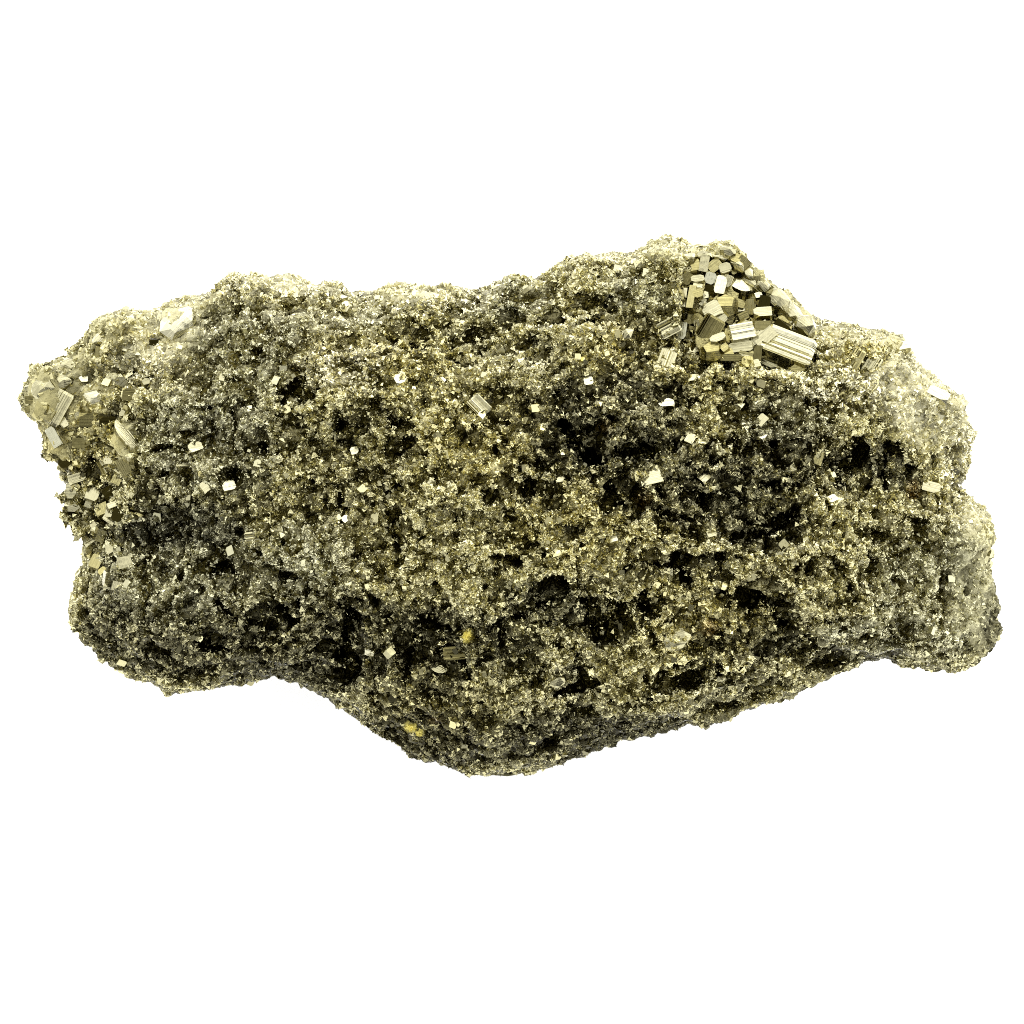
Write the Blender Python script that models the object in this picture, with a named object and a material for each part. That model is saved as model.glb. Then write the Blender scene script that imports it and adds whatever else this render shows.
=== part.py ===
"""Raw pyrite: one lump of granular pyrite, with a pocket of larger striated crystals.

The lump is drawn on its broad face: u runs right, v up the face and w out of it, in
millimetres from the middle of the face. The face leans back, and the stone rests on a
small flat spot below it. The finished part stands on z = 0, centred over the origin.
"""
import math

import bmesh
import bpy
import numpy as np
from mathutils import Matrix, Vector, noise

MM = 0.001

# Outline of the broad face, (u, v), clockwise from the left tip
OUTLINE = [
    (-40.1, 8.8), (-38.8, 11.2), (-36.5, 12.5), (-34.7, 14.1), (-33.1, 15.9), (-29.2, 16.0),
    (-26.5, 17.3), (-23.7, 18.3), (-21.2, 19.0), (-17.7, 19.0), (-15.4, 18.2), (-12.7, 18.2),
    (-12.0, 17.3), (-10.4, 17.8), (-6.4, 18.3), (-4.8, 17.7), (-3.1, 17.9), (-1.3, 18.6),
    (0.2, 19.2), (2.3, 18.6), (3.7, 19.4), (4.9, 20.2), (7.1, 20.5), (8.6, 21.0),
    (10.2, 20.7), (11.5, 21.7), (13.2, 22.0), (14.6, 21.4), (17.2, 21.4), (18.9, 20.8),
    (21.0, 18.7), (22.9, 17.3), (25.2, 15.3), (28.0, 15.2), (31.0, 14.8), (32.0, 14.2),
    (33.0, 12.5), (36.0, 10.2), (37.7, 7.5), (38.3, 6.3), (37.6, 4.6), (36.5, 1.5),
    (37.5, 1.0), (38.9, 0.1), (39.6, -1.3), (39.3, -3.8), (39.8, -7.5), (40.0, -10.4),
    (39.0, -12.4), (36.5, -13.3), (34.3, -13.3), (31.1, -11.9), (29.7, -12.4), (25.6, -14.0),
    (23.6, -15.2), (20.0, -16.8), (15.7, -18.1), (13.0, -18.1), (10.6, -19.0), (6.7, -19.8),
    (1.9, -21.3), (-1.0, -21.8), (-3.7, -21.6), (-6.6, -20.3), (-9.4, -19.5), (-11.4, -17.6),
    (-15.0, -15.3), (-18.7, -13.4), (-20.3, -14.2), (-23.4, -14.3), (-25.5, -15.1),
    (-27.9, -14.4), (-30.2, -13.9), (-33.4, -11.9), (-35.9, -10.0), (-36.3, -8.2),
    (-35.6, -6.6), (-34.9, -3.3), (-36.4, -0.5), (-36.1, 1.2), (-36.9, 4.1), (-38.9, 7.0),
]

# How far the stone swells out of the face and behind it, at places along u
SWELL_U = (-40.0, -28.0, -12.0, 6.0, 24.0, 40.0)
SWELL_FRONT = (9.0, 12.0, 14.5, 15.5, 14.0, 11.0)
SWELL_BACK = (9.0, 12.5, 16.0, 17.0, 15.0, 11.0)
FRONT_FLATNESS = 3.3
BACK_FLATNESS = 2.3
SWELL_ROUNDNESS = 2.1
EDGE_SPREAD = 0.85

# The face leans back from upright by this much, and the underside is cut level
FACE_LEAN = math.radians(50.0)
BASE_CUT = -15.4
BASE_BLOCK = 60.0

# Old breaks on the back and the ends: outward direction (u, v, w) and distance
BREAKS = [
    ((-0.30, 0.25, -0.92), 13.2),
    ((0.42, -0.05, -0.91), 15.6),
    ((0.10, 0.70, -0.70), 18.6),
    ((-0.72, -0.15, -0.68), 27.0),
    ((0.85, 0.20, -0.50), 35.0),
    ((-0.10, -0.80, -0.60), 19.2),
    ((0.10, -0.66, 0.74), 19.8),
]
BREAK_SHARPNESS = 0.85

# Lumps and hollows of the broad face: (u, v, half width, half height, rise or depth)
FACE_LUMPS = [
    (6.9, 19.2, 2.6, 1.7, 1.2), (0.0, 18.0, 2.2, 1.5, 1.0), (-6.0, 16.8, 3.4, 1.8, 1.3),
    (-14.2, 17.0, 2.7, 1.5, 1.1), (-22.0, 17.4, 3.2, 1.8, 1.3), (-30.5, 14.2, 3.2, 2.2, 1.3),
    (12.6, 19.6, 3.2, 2.0, 1.2), (17.6, 20.2, 2.6, 1.2, 0.8), (16.4, 10.5, 1.5, 1.0, 1.1),
    (19.3, 10.6, 1.7, 1.1, 1.3), (22.6, 9.8, 1.5, 1.0, 1.0), (30.8, 12.2, 3.4, 2.4, 1.3),
    (35.8, 7.8, 2.4, 2.6, 1.0), (35.8, -3.0, 3.2, 2.6, 1.5), (34.3, -10.3, 3.6, 2.0, 1.3),
    (13.6, -2.6, 4.2, 1.5, 1.2), (11.6, -15.6, 3.6, 1.6, 1.4), (18.2, -11.6, 2.2, 2.2, 1.5),
    (-1.5, -14.6, 4.0, 2.2, 1.4), (-27.2, -9.4, 3.6, 2.4, 1.5), (-31.6, -5.6, 3.0, 2.6, 1.2),
    (-14.2, -3.0, 5.0, 2.8, 1.4), (-21.0, -1.0, 3.4, 2.2, 1.0), (0.8, 10.4, 4.4, 2.4, 1.3),
    (-12.2, 8.8, 3.4, 2.0, 1.2), (11.4, 7.0, 2.8, 1.6, 1.2), (24.4, 6.4, 2.6, 1.8, 1.0),
    (27.2, -3.2, 3.8, 1.8, 1.3), (-5.2, 0.6, 3.0, 2.0, 1.0), (-26.4, 8.2, 3.4, 2.4, 1.2),
    (-3.0, -8.0, 2.6, 2.0, 1.0), (28.8, -7.6, 2.8, 1.6, 0.9), (2.6, -18.2, 3.0, 1.6, 1.0),
]
FACE_HOLLOWS = [
    (7.5, -9.3, 2.6, 2.0, 3.0), (-13.5, -11.1, 1.9, 2.9, 3.2), (20.6, -8.1, 2.2, 2.3, 3.2),
    (23.7, -11.2, 2.0, 1.4, 2.0), (27.8, 3.2, 1.5, 1.9, 3.6), (30.8, 3.6, 1.2, 1.7, 3.0),
    (-16.8, 9.3, 1.5, 1.0, 2.0), (-12.4, 13.2, 1.3, 1.0, 1.6), (-7.9, 13.8, 2.5, 1.3, 2.6),
    (-4.0, 13.1, 1.4, 1.4, 2.0), (-0.2, 15.8, 1.3, 0.9, 1.6), (3.0, 15.4, 1.3, 1.1, 1.7),
    (6.6, 16.4, 2.1, 1.0, 2.0), (5.3, 5.2, 3.0, 2.0, 2.0), (9.9, 11.4, 1.2, 1.5, 2.0),
    (9.3, 0.6, 1.9, 1.1, 1.5), (4.6, -2.0, 1.5, 1.1, 1.3), (-0.1, -5.1, 1.3, 1.2, 1.5),
    (3.0, -6.5, 1.2, 1.1, 1.3), (16.6, 1.4, 2.5, 1.3, 1.8), (13.8, -13.6, 2.3, 1.1, 2.4),
    (5.2, -14.6, 1.6, 1.1, 1.8), (21.2, -1.9, 2.8, 1.4, 1.9), (-9.5, -1.8, 1.2, 1.9, 1.6),
    (-19.2, -8.9, 2.0, 1.1, 1.6), (-22.6, -5.4, 1.7, 1.2, 1.5), (-25.4, -7.2, 1.3, 1.0, 1.3),
    (-10.6, -12.6, 1.1, 1.4, 1.6), (-7.9, -11.0, 1.4, 1.5, 1.7), (-4.9, -12.2, 1.8, 1.1, 1.7),
    (1.8, -11.7, 1.4, 1.1, 1.4), (11.0, -7.9, 1.1, 1.0, 1.4), (27.0, -10.5, 1.1, 0.9, 1.2),
    (32.1, -9.6, 1.5, 0.9, 1.5), (37.2, -6.4, 1.2, 1.0, 1.2), (31.6, -5.5, 1.2, 1.0, 1.3),
    (-33.2, 7.4, 1.7, 1.5, 1.7), (-30.3, 9.4, 1.4, 1.2, 1.5), (-33.0, 1.8, 1.6, 1.4, 1.7),
    (-20.4, 5.5, 1.1, 1.2, 1.3), (-21.4, 7.9, 1.1, 1.1, 1.3), (-8.0, 4.6, 1.5, 1.0, 1.4),
    (-23.2, -11.2, 1.6, 1.0, 1.3), (-29.0, 2.4, 1.4, 1.2, 1.2), (29.8, -1.4, 1.6, 0.9, 1.2),
]
# Cracks and the step above the lower rim: (u, v) from, (u, v) to, half width, depth
FACE_CRACKS = [
    ((10.4, -4.7), (17.2, -5.2), 0.9, 1.8),
    ((7.6, -18.2), (17.6, -16.4), 0.8, 1.2),
    ((17.6, -16.4), (26.4, -12.6), 0.8, 1.3),
    ((-3.4, 1.8), (3.6, 1.0), 0.8, 1.2),
    ((31.0, -11.2), (29.2, -9.6), 0.7, 1.2),
]
BACK_LUMPS = [
    (-26.0, 6.0, 5.0, 4.0, 1.6), (-14.0, 11.0, 4.5, 3.5, 1.7), (-3.0, 4.0, 5.0, 4.0, 1.6),
    (9.0, 12.0, 4.5, 3.0, 1.8), (22.0, 8.0, 4.5, 3.5, 1.5), (31.0, 0.0, 3.5, 4.0, 1.6),
    (16.0, -5.0, 4.5, 4.0, 1.5), (-20.0, -6.0, 4.0, 3.5, 1.5), (3.0, -9.0, 4.5, 3.0, 1.4),
]
BACK_HOLLOWS = [
    (-20.0, 3.5, 2.6, 1.8, 2.4), (-8.5, 8.5, 2.0, 1.6, 2.2), (3.0, 9.5, 2.6, 1.4, 2.4),
    (15.5, 9.5, 1.9, 2.1, 2.6), (27.0, 5.0, 1.8, 1.6, 2.2), (10.0, -1.0, 2.6, 1.6, 2.4),
    (-12.5, -2.0, 2.4, 1.8, 2.6), (23.5, -3.0, 1.8, 2.0, 2.2), (-28.0, -3.0, 1.8, 1.6, 2.0),
    (-5.0, 13.5, 2.0, 1.2, 1.8), (34.5, 4.5, 1.4, 1.6, 1.6), (-32.5, 5.5, 1.6, 1.4, 1.6),
]

# How far a lump or hollow reaches through the stone, and how steep its sides are
SPOT_REACH = 1.4
SPOT_SHOULDER = 1.5
LUMP_STEEPNESS = 2.0
HOLLOW_STEEPNESS = 3.0

# Unevenness of the whole surface: (width of a bump, height of it)
UNEVENNESS = [(9.0, 1.2), (4.0, 1.25), (2.2, 0.65)]
UNEVENNESS_SHIFT = Vector((31.7, 63.4, 95.1))
RIM_UNEVENNESS = 0.6

# Rim of the pocket, (u, v), and how deep its floor lies
POCKET_RIM = [
    (14.3, 19.6), (16.2, 20.3), (18.6, 19.5), (21.0, 17.4), (23.4, 15.3), (24.9, 13.6),
    (24.4, 12.1), (22.9, 11.3), (19.6, 11.5), (17.2, 11.0), (14.9, 10.9), (13.7, 12.6), (13.8, 16.4),
]
POCKET_DEPTH = 4.2
POCKET_TAPER = 0.74
POCKET_OPENING = 6.0
POCKET_FACING = Vector((0.1, 0.25, 1.0)).normalized()
CRUST_GAP = 0.42
CRUST_WALL = 0.9
CRUST_BELOW_RIM = 1.7
CRYSTALS_ABOVE_RIM = 0.4
CRYSTAL_BURIED = 0.25

# Crystals in the pocket: (u, v), height over the floor, (length, width, thickness), spin, lean
POCKET_CRYSTALS = [
    ((22.5, 13.1), 2.9, (4.2, 2.3, 3.0), -24.0, 14.0),
    ((20.5, 14.0), 2.7, (1.7, 1.7, 2.8), -16.0, 20.0),
    ((20.6, 15.6), 2.6, (1.5, 1.3, 2.6), 8.0, 26.0),
    ((18.9, 14.2), 2.4, (2.4, 1.5, 2.6), 16.0, 30.0),
    ((18.9, 18.0), 2.6, (2.3, 1.9, 2.8), 24.0, 30.0),
    ((17.2, 17.9), 2.5, (1.4, 1.9, 2.6), -14.0, 34.0),
    ((17.6, 16.4), 1.9, (1.7, 1.6, 2.4), 12.0, 18.0),
    ((16.3, 16.0), 2.3, (1.5, 1.3, 2.4), -28.0, 28.0),
    ((16.0, 14.5), 1.7, (1.8, 1.9, 2.2), 8.0, 24.0),
    ((16.4, 12.8), 2.0, (1.9, 1.7, 2.4), -10.0, 36.0),
    ((17.1, 13.6), 2.3, (1.3, 1.0, 2.2), 32.0, 22.0),
    ((18.8, 12.8), 2.0, (2.2, 1.2, 2.4), 6.0, 46.0),
    ((14.9, 17.0), 2.4, (1.3, 2.6, 2.6), 4.0, 24.0),
    ((15.3, 19.2), 2.2, (1.6, 1.3, 2.4), -20.0, 30.0),
    ((19.6, 16.7), 1.9, (1.5, 1.4, 2.4), 15.0, 22.0),
    ((21.2, 16.6), 2.0, (1.2, 1.3, 2.4), -12.0, 26.0),
    ((16.3, 18.2), 1.7, (1.3, 1.2, 2.2), 38.0, 20.0),
]

# Crystals on the broad face: (u, v), size, spin, lean; each stands half buried in the lump
FACE_CRYSTALS = [
    ((-36.8, 8.9), 3.9, 18.0, 30.0), ((-34.2, 11.4), 3.6, 50.0, 22.0), ((-36.4, 5.6), 3.4, 33.0, 40.0),
    ((-31.4, 12.8), 3.0, 12.0, 34.0), ((-33.4, 7.2), 3.4, 64.0, 26.0), ((-30.0, 8.6), 2.6, 28.0, 38.0),
    ((-34.6, 1.0), 3.0, 45.0, 18.0), ((-31.4, 4.2), 3.0, 20.0, 36.0), ((-27.2, 14.8), 3.2, 25.0, 24.0),
    ((-31.2, -0.2), 2.6, 8.0, 30.0), ((-28.6, 5.0), 2.4, 52.0, 28.0), ((-35.4, -1.8), 2.2, 30.0, 40.0),
    ((-2.5, 8.1), 2.2, 30.0, 12.0), ((12.9, 14.6), 2.3, 15.0, 16.0), ((12.8, 12.0), 2.0, 66.0, 20.0),
    ((11.5, 2.3), 2.1, 40.0, 24.0), ((13.7, -10.7), 2.6, 22.0, 14.0), ((-5.4, -11.9), 2.8, 4.0, 44.0),
    ((28.6, 12.2), 2.8, 38.0, 20.0), ((33.6, -1.4), 2.2, 55.0, 26.0), ((33.4, 8.8), 2.8, 28.0, 32.0),
    ((18.6, -12.6), 2.0, 32.0, 30.0), ((9.4, 14.2), 1.9, 48.0, 22.0), ((-8.9, 10.3), 1.6, 20.0, 34.0),
]
BACK_CRYSTALS = [
    ((-22.0, 8.0), 3.0, 24.0, 28.0), ((-17.0, 4.0), 2.4, 55.0, 18.0), ((-5.0, 10.0), 2.8, 12.0, 34.0),
    ((6.0, 6.0), 3.2, 38.0, 22.0), ((8.2, 4.8), 2.2, 12.0, 40.0), ((14.0, 3.0), 2.4, 70.0, 30.0),
    ((20.0, 10.0), 2.8, 46.0, 26.0), ((29.0, 6.0), 2.4, 15.0, 20.0), ((-30.0, 1.0), 2.6, 33.0, 36.0),
    ((-9.0, -2.0), 2.6, 60.0, 24.0), ((24.0, -5.0), 2.6, 28.0, 32.0),
]
PYRITOHEDRON_SLOPE = 0.5
PYRITOHEDRON_EVERY = 3
PYRITOHEDRON_SIZE = 1.15
CUBE_SIDES = (1.0, 0.9, 0.95)
CRYSTAL_RISE = -0.26
CRYSTAL_SPLAY = (0.012, 0.03)

# Fineness of the finished solids
SPHERE_DETAIL = 7
VOXEL = 0.5
MASS_TRIANGLES = 6900
WELD = 0.001


def clear_scene():
    for old in list(bpy.data.objects):
        bpy.data.objects.remove(old)


def metal(name, colour, roughness, metallic):
    """A plain metallic material for one piece."""
    material = bpy.data.materials.new(name)
    material.use_nodes = True
    shader = material.node_tree.nodes["Principled BSDF"]
    shader.inputs["Base Color"].default_value = (*colour, 1.0)
    shader.inputs["Roughness"].default_value = roughness
    shader.inputs["Metallic"].default_value = metallic
    material.diffuse_color = (*colour, 1.0)
    return material


def object_from(name, bm):
    mesh = bpy.data.meshes.new(name)
    bm.to_mesh(mesh)
    bm.free()
    made = bpy.data.objects.new(name, mesh)
    bpy.context.collection.objects.link(made)
    return made


def settle(piece):
    """Apply the modifiers, so that the next step works on the finished mesh."""
    graph = bpy.context.evaluated_depsgraph_get()
    finished = bpy.data.meshes.new_from_object(piece.evaluated_get(graph))
    piece.modifiers.clear()
    piece.data = finished


def combine(piece, other, operation):
    """Cut the piece with another, join the two or keep what they share."""
    step = piece.modifiers.new(operation.title(), "BOOLEAN")
    step.operation = operation
    step.solver = "EXACT"
    step.object = other
    settle(piece)
    bpy.data.objects.remove(other)


def get_points(mesh):
    points = np.empty(len(mesh.vertices) * 3)
    mesh.vertices.foreach_get("co", points)
    return points.reshape(-1, 3)


def get_normals(mesh):
    normals = np.empty(len(mesh.vertices) * 3)
    mesh.vertices.foreach_get("normal", normals)
    return normals.reshape(-1, 3)


def set_points(mesh, points):
    mesh.vertices.foreach_set("co", points.ravel())
    mesh.update()


def outline_reach(angles):
    """Distance from the middle of the face to its outline, in each direction."""
    corners = np.array(OUTLINE)
    corner_angles = np.arctan2(corners[:, 1], corners[:, 0])
    order = np.argsort(corner_angles)
    reach = np.hypot(corners[:, 0], corners[:, 1])[order]
    return np.interp(angles, corner_angles[order], reach, period=2.0 * math.pi)


def swell(u, v, depths, flatness):
    """Height of the plain stone over its face, before lumps and hollows."""
    share = np.hypot(u, v) / outline_reach(np.arctan2(v, u))
    level = np.clip(1.0 - share ** flatness, 0.0, 1.0) ** (1.0 / SWELL_ROUNDNESS)
    return np.interp(u, SWELL_U, depths) * level


def front_height(u, v):
    return float(swell(np.array(u), np.array(v), SWELL_FRONT, FRONT_FLATNESS))


def plain_stone():
    """A fine ball drawn out to the outline of the face and swollen front and back."""
    bm = bmesh.new()
    bmesh.ops.create_icosphere(bm, subdivisions=SPHERE_DETAIL, radius=1.0)
    stone = object_from("pyrite_mass", bm)
    ball = get_points(stone.data)
    angles = np.arctan2(ball[:, 1], ball[:, 0])
    share = np.hypot(ball[:, 0], ball[:, 1]) ** EDGE_SPREAD
    reach = outline_reach(angles) * share
    u = reach * np.cos(angles)
    v = reach * np.sin(angles)
    front = swell(u, v, SWELL_FRONT, FRONT_FLATNESS)
    back = -swell(u, v, SWELL_BACK, BACK_FLATNESS)
    w = np.where(ball[:, 2] >= 0.0, front, back)
    set_points(stone.data, np.column_stack((u, v, w)))
    return stone


def break_off(points):
    """Flatten what stands out past each old break."""
    for direction, distance in BREAKS:
        outward = np.array(direction) / np.linalg.norm(direction)
        beyond = np.clip(points @ outward - distance, 0.0, None)
        points = points - np.outer(beyond * BREAK_SHARPNESS, outward)
    return points


def spot_on(points, u, v, side):
    """Number of the surface point that lies nearest to (u, v) on the front or the back."""
    away = np.hypot(points[:, 0] - u, points[:, 1] - v)
    away[points[:, 2] * side < 0.0] = np.inf
    return int(np.argmin(away))


def raise_spots(points, normals, spots, side, sign, steepness):
    """Movement of the surface that raises lumps, or with sign -1 sinks hollows."""
    moves = np.zeros_like(points)
    for u, v, half_width, half_height, size in spots:
        spot = spot_on(points, u, v, side)
        offset = points - points[spot]
        depth_scale = max(half_width, half_height) * SPOT_REACH
        scaled = offset / np.array((half_width, half_height, depth_scale))
        distance = np.sqrt((scaled ** 2).sum(axis=1))
        profile = np.clip(1.0 - distance ** steepness, 0.0, 1.0) ** SPOT_SHOULDER
        moves += np.outer(profile * size * sign, normals[spot])
    return moves


def sink_cracks(points):
    """Movement of the surface that opens narrow cracks in the broad face."""
    moves = np.zeros_like(points)
    for start, end, half_width, depth in FACE_CRACKS:
        first = np.array(start)
        run = np.array(end) - first
        along = np.clip(((points[:, :2] - first) @ run) / (run @ run), 0.0, 1.0)
        nearest = first + along[:, None] * run
        away = np.hypot(*(points[:, :2] - nearest).T) / half_width
        profile = np.clip(1.0 - away ** 2, 0.0, 1.0) * (points[:, 2] > 0.0)
        moves[:, 2] -= profile * depth
    return moves


def roughen(points, normals):
    """Movement of the surface that makes it uneven, less so where the outline shows."""
    facing = RIM_UNEVENNESS + (1.0 - RIM_UNEVENNESS) * np.abs(normals[:, 2])
    height = np.zeros(len(points))
    for number, (width, rise) in enumerate(UNEVENNESS):
        shift = UNEVENNESS_SHIFT * (number + 1)
        layer = [noise.noise(Vector(point) / width + shift) for point in points]
        height += np.array(layer) * rise
    return normals * (height * facing)[:, None]


def cubelet(name, sides):
    """A block with three sizes, the plain form of a pyrite cube."""
    bm = bmesh.new()
    bmesh.ops.create_cube(bm, size=1.0)
    bmesh.ops.scale(bm, vec=sides, verts=bm.verts)
    return object_from(name, bm)


def pyritohedron(name, size):
    """The twelve-faced form of pyrite, as the hull of its twenty corners."""
    far = 1.0 + PYRITOHEDRON_SLOPE
    near = 1.0 - PYRITOHEDRON_SLOPE ** 2
    bm = bmesh.new()
    for x in (-1.0, 1.0):
        for y in (-1.0, 1.0):
            bm.verts.new((x, y, 1.0))
            bm.verts.new((x, y, -1.0))
            bm.verts.new((0.0, x * near, y * far))
            bm.verts.new((x * near, y * far, 0.0))
            bm.verts.new((y * far, 0.0, x * near))
    bmesh.ops.convex_hull(bm, input=bm.verts)
    bmesh.ops.scale(bm, vec=(size / far / 2.0,) * 3, verts=bm.verts)
    return object_from(name, bm)


def turn(piece, outward, spin, lean):
    """Point the piece's top outward, after turning and tipping it by degrees."""
    upright = outward.to_track_quat("Z", "Y").to_matrix().to_4x4()
    tipped = Matrix.Rotation(math.radians(lean), 4, "X")
    spun = Matrix.Rotation(math.radians(spin), 4, "Z")
    piece.data.transform(upright @ spun @ tipped)


def grow_crystals(stone, crystals, side):
    """Join crystals to the stone, each standing out of the surface at its spot."""
    for number, (place, size, spin, lean) in enumerate(crystals):
        points = get_points(stone.data)
        spot = spot_on(points, place[0], place[1], side)
        splay = (place[0] * CRYSTAL_SPLAY[0], place[1] * CRYSTAL_SPLAY[1], side)
        outward = Vector(splay).normalized()
        if number % PYRITOHEDRON_EVERY == 1:
            crystal = pyritohedron("crystal", size * PYRITOHEDRON_SIZE)
        else:
            crystal = cubelet("crystal", [size * share for share in CUBE_SIDES])
        turn(crystal, outward, spin, lean)
        crystal.data.transform(Matrix.Translation(Vector(points[spot]) + outward * size * CRYSTAL_RISE))
        combine(stone, crystal, "UNION")


def pocket_block(name, inset, above):
    """A solid that fits the pocket, drawn in by an inset all round and below."""
    middle = np.mean(POCKET_RIM, axis=0)
    flare = 1.0 + (1.0 - POCKET_TAPER) * above / POCKET_DEPTH
    bm = bmesh.new()
    for rim_point in POCKET_RIM:
        outward = np.array(rim_point) - middle
        length = np.linalg.norm(outward)
        top = middle + outward * (length * flare - inset) / length
        bottom = middle + outward * (length * POCKET_TAPER - inset) / length
        surface = front_height(*rim_point)
        bm.verts.new((top[0], top[1], surface + above))
        bm.verts.new((bottom[0], bottom[1], front_height(*bottom) - POCKET_DEPTH + inset))
    bmesh.ops.convex_hull(bm, input=bm.verts)
    return object_from(name, bm)


def pocket_crust():
    """The bowl that lines the pocket, with the crystals that grow in it."""
    crust = pocket_block("pocket_crystals", CRUST_GAP, -CRUST_BELOW_RIM)
    combine(crust, pocket_block("bowl_inside", CRUST_GAP + CRUST_WALL, POCKET_OPENING), "DIFFERENCE")
    for place, height, sides, spin, lean in POCKET_CRYSTALS:
        floor = front_height(*place) - POCKET_DEPTH + CRUST_GAP
        block = cubelet("crystal", sides)
        turn(block, POCKET_FACING, spin, lean)
        middle = floor + height - sides[2] * CRYSTAL_BURIED
        block.data.transform(Matrix.Translation((place[0], place[1], middle)))
        combine(crust, block, "UNION")
    combine(crust, pocket_block("pocket_limit", CRUST_GAP, CRYSTALS_ABOVE_RIM), "INTERSECT")
    return crust


def simplify(piece, triangles):
    """Cut the surface down to a number of triangles, keeping its form."""
    piece.data.calc_loop_triangles()
    step = piece.modifiers.new("Simplify", "DECIMATE")
    step.ratio = min(1.0, triangles / len(piece.data.loop_triangles))
    step.use_collapse_triangulate = True
    settle(piece)


def tidy_mesh(piece):
    """Weld slivers, keep the largest body and leave triangles facing outward."""
    bm = bmesh.new()
    bm.from_mesh(piece.data)
    bmesh.ops.remove_doubles(bm, verts=bm.verts, dist=WELD)
    bmesh.ops.dissolve_degenerate(bm, edges=bm.edges, dist=WELD)
    bmesh.ops.triangulate(bm, faces=bm.faces)
    loose = set(bm.faces)
    bodies = []
    while loose:
        body = [loose.pop()]
        for face in body:
            for edge in face.edges:
                for other in edge.link_faces:
                    if other in loose:
                        loose.remove(other)
                        body.append(other)
        bodies.append(body)
    bodies.sort(key=len)
    for crumb in bodies[:-1]:
        bmesh.ops.delete(bm, geom=crumb, context="FACES")
    bmesh.ops.delete(bm, geom=[vert for vert in bm.verts if not vert.link_faces], context="VERTS")
    bmesh.ops.recalc_face_normals(bm, faces=bm.faces)
    bm.to_mesh(piece.data)
    bm.free()


def lump():
    """The whole granular mass, still in face coordinates and uncut below."""
    stone = plain_stone()
    set_points(stone.data, break_off(get_points(stone.data)))
    points = get_points(stone.data)
    normals = get_normals(stone.data)
    moves = raise_spots(points, normals, FACE_LUMPS, 1.0, 1.0, LUMP_STEEPNESS)
    moves += raise_spots(points, normals, FACE_HOLLOWS, 1.0, -1.0, HOLLOW_STEEPNESS)
    moves += raise_spots(points, normals, BACK_LUMPS, -1.0, 1.0, LUMP_STEEPNESS)
    moves += raise_spots(points, normals, BACK_HOLLOWS, -1.0, -1.0, HOLLOW_STEEPNESS)
    moves += sink_cracks(points)
    moves += roughen(points, normals)
    set_points(stone.data, points + moves)
    remesh = stone.modifiers.new("Remesh", "REMESH")
    remesh.mode = "VOXEL"
    remesh.voxel_size = VOXEL
    settle(stone)
    simplify(stone, MASS_TRIANGLES)
    return stone


def lean_back(piece):
    """Turn the face coordinates so that w leans up and the stone can rest."""
    up_face = Vector((0.0, math.sin(FACE_LEAN), math.cos(FACE_LEAN)))
    out_of_face = Vector((0.0, -math.cos(FACE_LEAN), math.sin(FACE_LEAN)))
    turned = Matrix((Vector((1.0, 0.0, 0.0)), up_face, out_of_face)).transposed().to_4x4()
    piece.data.transform(turned)


def cut_base(stone):
    block = cubelet("base_block", (BASE_BLOCK * 2.0, BASE_BLOCK, BASE_BLOCK))
    block.data.transform(Matrix.Translation((0.0, 0.0, BASE_CUT - BASE_BLOCK / 2.0)))
    combine(stone, block, "DIFFERENCE")


def stand_on_origin(stone, others):
    """Scale to metres with the stone standing on z = 0, centred over the origin."""
    points = get_points(stone.data)
    low = points.min(axis=0)
    high = points.max(axis=0)
    middle = Vector(((low[0] + high[0]) / 2.0, (low[1] + high[1]) / 2.0, low[2]))
    for piece in [stone, *others]:
        piece.data.transform(Matrix.Scale(MM, 4) @ Matrix.Translation(-middle))


clear_scene()
mass = lump()
grow_crystals(mass, FACE_CRYSTALS, 1.0)
grow_crystals(mass, BACK_CRYSTALS, -1.0)
combine(mass, pocket_block("pocket", 0.0, POCKET_OPENING), "DIFFERENCE")
crust = pocket_crust()
lean_back(mass)
lean_back(crust)
cut_base(mass)
tidy_mesh(mass)
tidy_mesh(crust)
stand_on_origin(mass, [crust])
mass.data.materials.clear()
mass.data.materials.append(metal("granular pyrite", (0.36, 0.32, 0.17), 0.42, 0.8))
crust.data.materials.clear()
crust.data.materials.append(metal("crystal pyrite", (0.55, 0.48, 0.25), 0.3, 0.9))
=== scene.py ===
"""Raw pyrite, dressed: sugar-like grains, larger crystals and a pocket of striated ones.

Shapes are worked out on the stone's broad face, in millimetres: u runs right, v up the face
and w out of it. The face leans back, and the finished pieces are turned to match the part.
"""

import itertools
import math

import bmesh
import bpy
import numpy as np
from mathutils import Euler, Matrix, Vector
from mathutils.bvhtree import BVHTree


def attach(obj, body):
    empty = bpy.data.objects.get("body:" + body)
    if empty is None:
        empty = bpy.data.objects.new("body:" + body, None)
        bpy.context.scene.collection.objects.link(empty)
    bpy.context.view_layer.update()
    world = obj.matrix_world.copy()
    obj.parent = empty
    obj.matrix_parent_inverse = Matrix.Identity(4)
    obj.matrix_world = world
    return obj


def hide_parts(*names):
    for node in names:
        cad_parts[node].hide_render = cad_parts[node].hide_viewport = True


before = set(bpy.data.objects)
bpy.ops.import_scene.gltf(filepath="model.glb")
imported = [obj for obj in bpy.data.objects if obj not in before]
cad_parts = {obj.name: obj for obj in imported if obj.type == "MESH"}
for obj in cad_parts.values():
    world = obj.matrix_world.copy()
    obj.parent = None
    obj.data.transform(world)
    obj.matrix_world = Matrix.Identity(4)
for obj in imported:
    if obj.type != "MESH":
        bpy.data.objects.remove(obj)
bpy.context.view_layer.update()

MM = 0.001

# How far the broad face leans back, its middle in the part in millimetres, and its own axes
FACE_LEAN = math.radians(50.0)
FACE_MIDDLE = np.array((0.0105, 0.6854, 15.4))
FACE_AXES = np.array((
    (1.0, 0.0, 0.0),
    (0.0, math.sin(FACE_LEAN), math.cos(FACE_LEAN)),
    (0.0, -math.cos(FACE_LEAN), math.sin(FACE_LEAN)),
))

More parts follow.
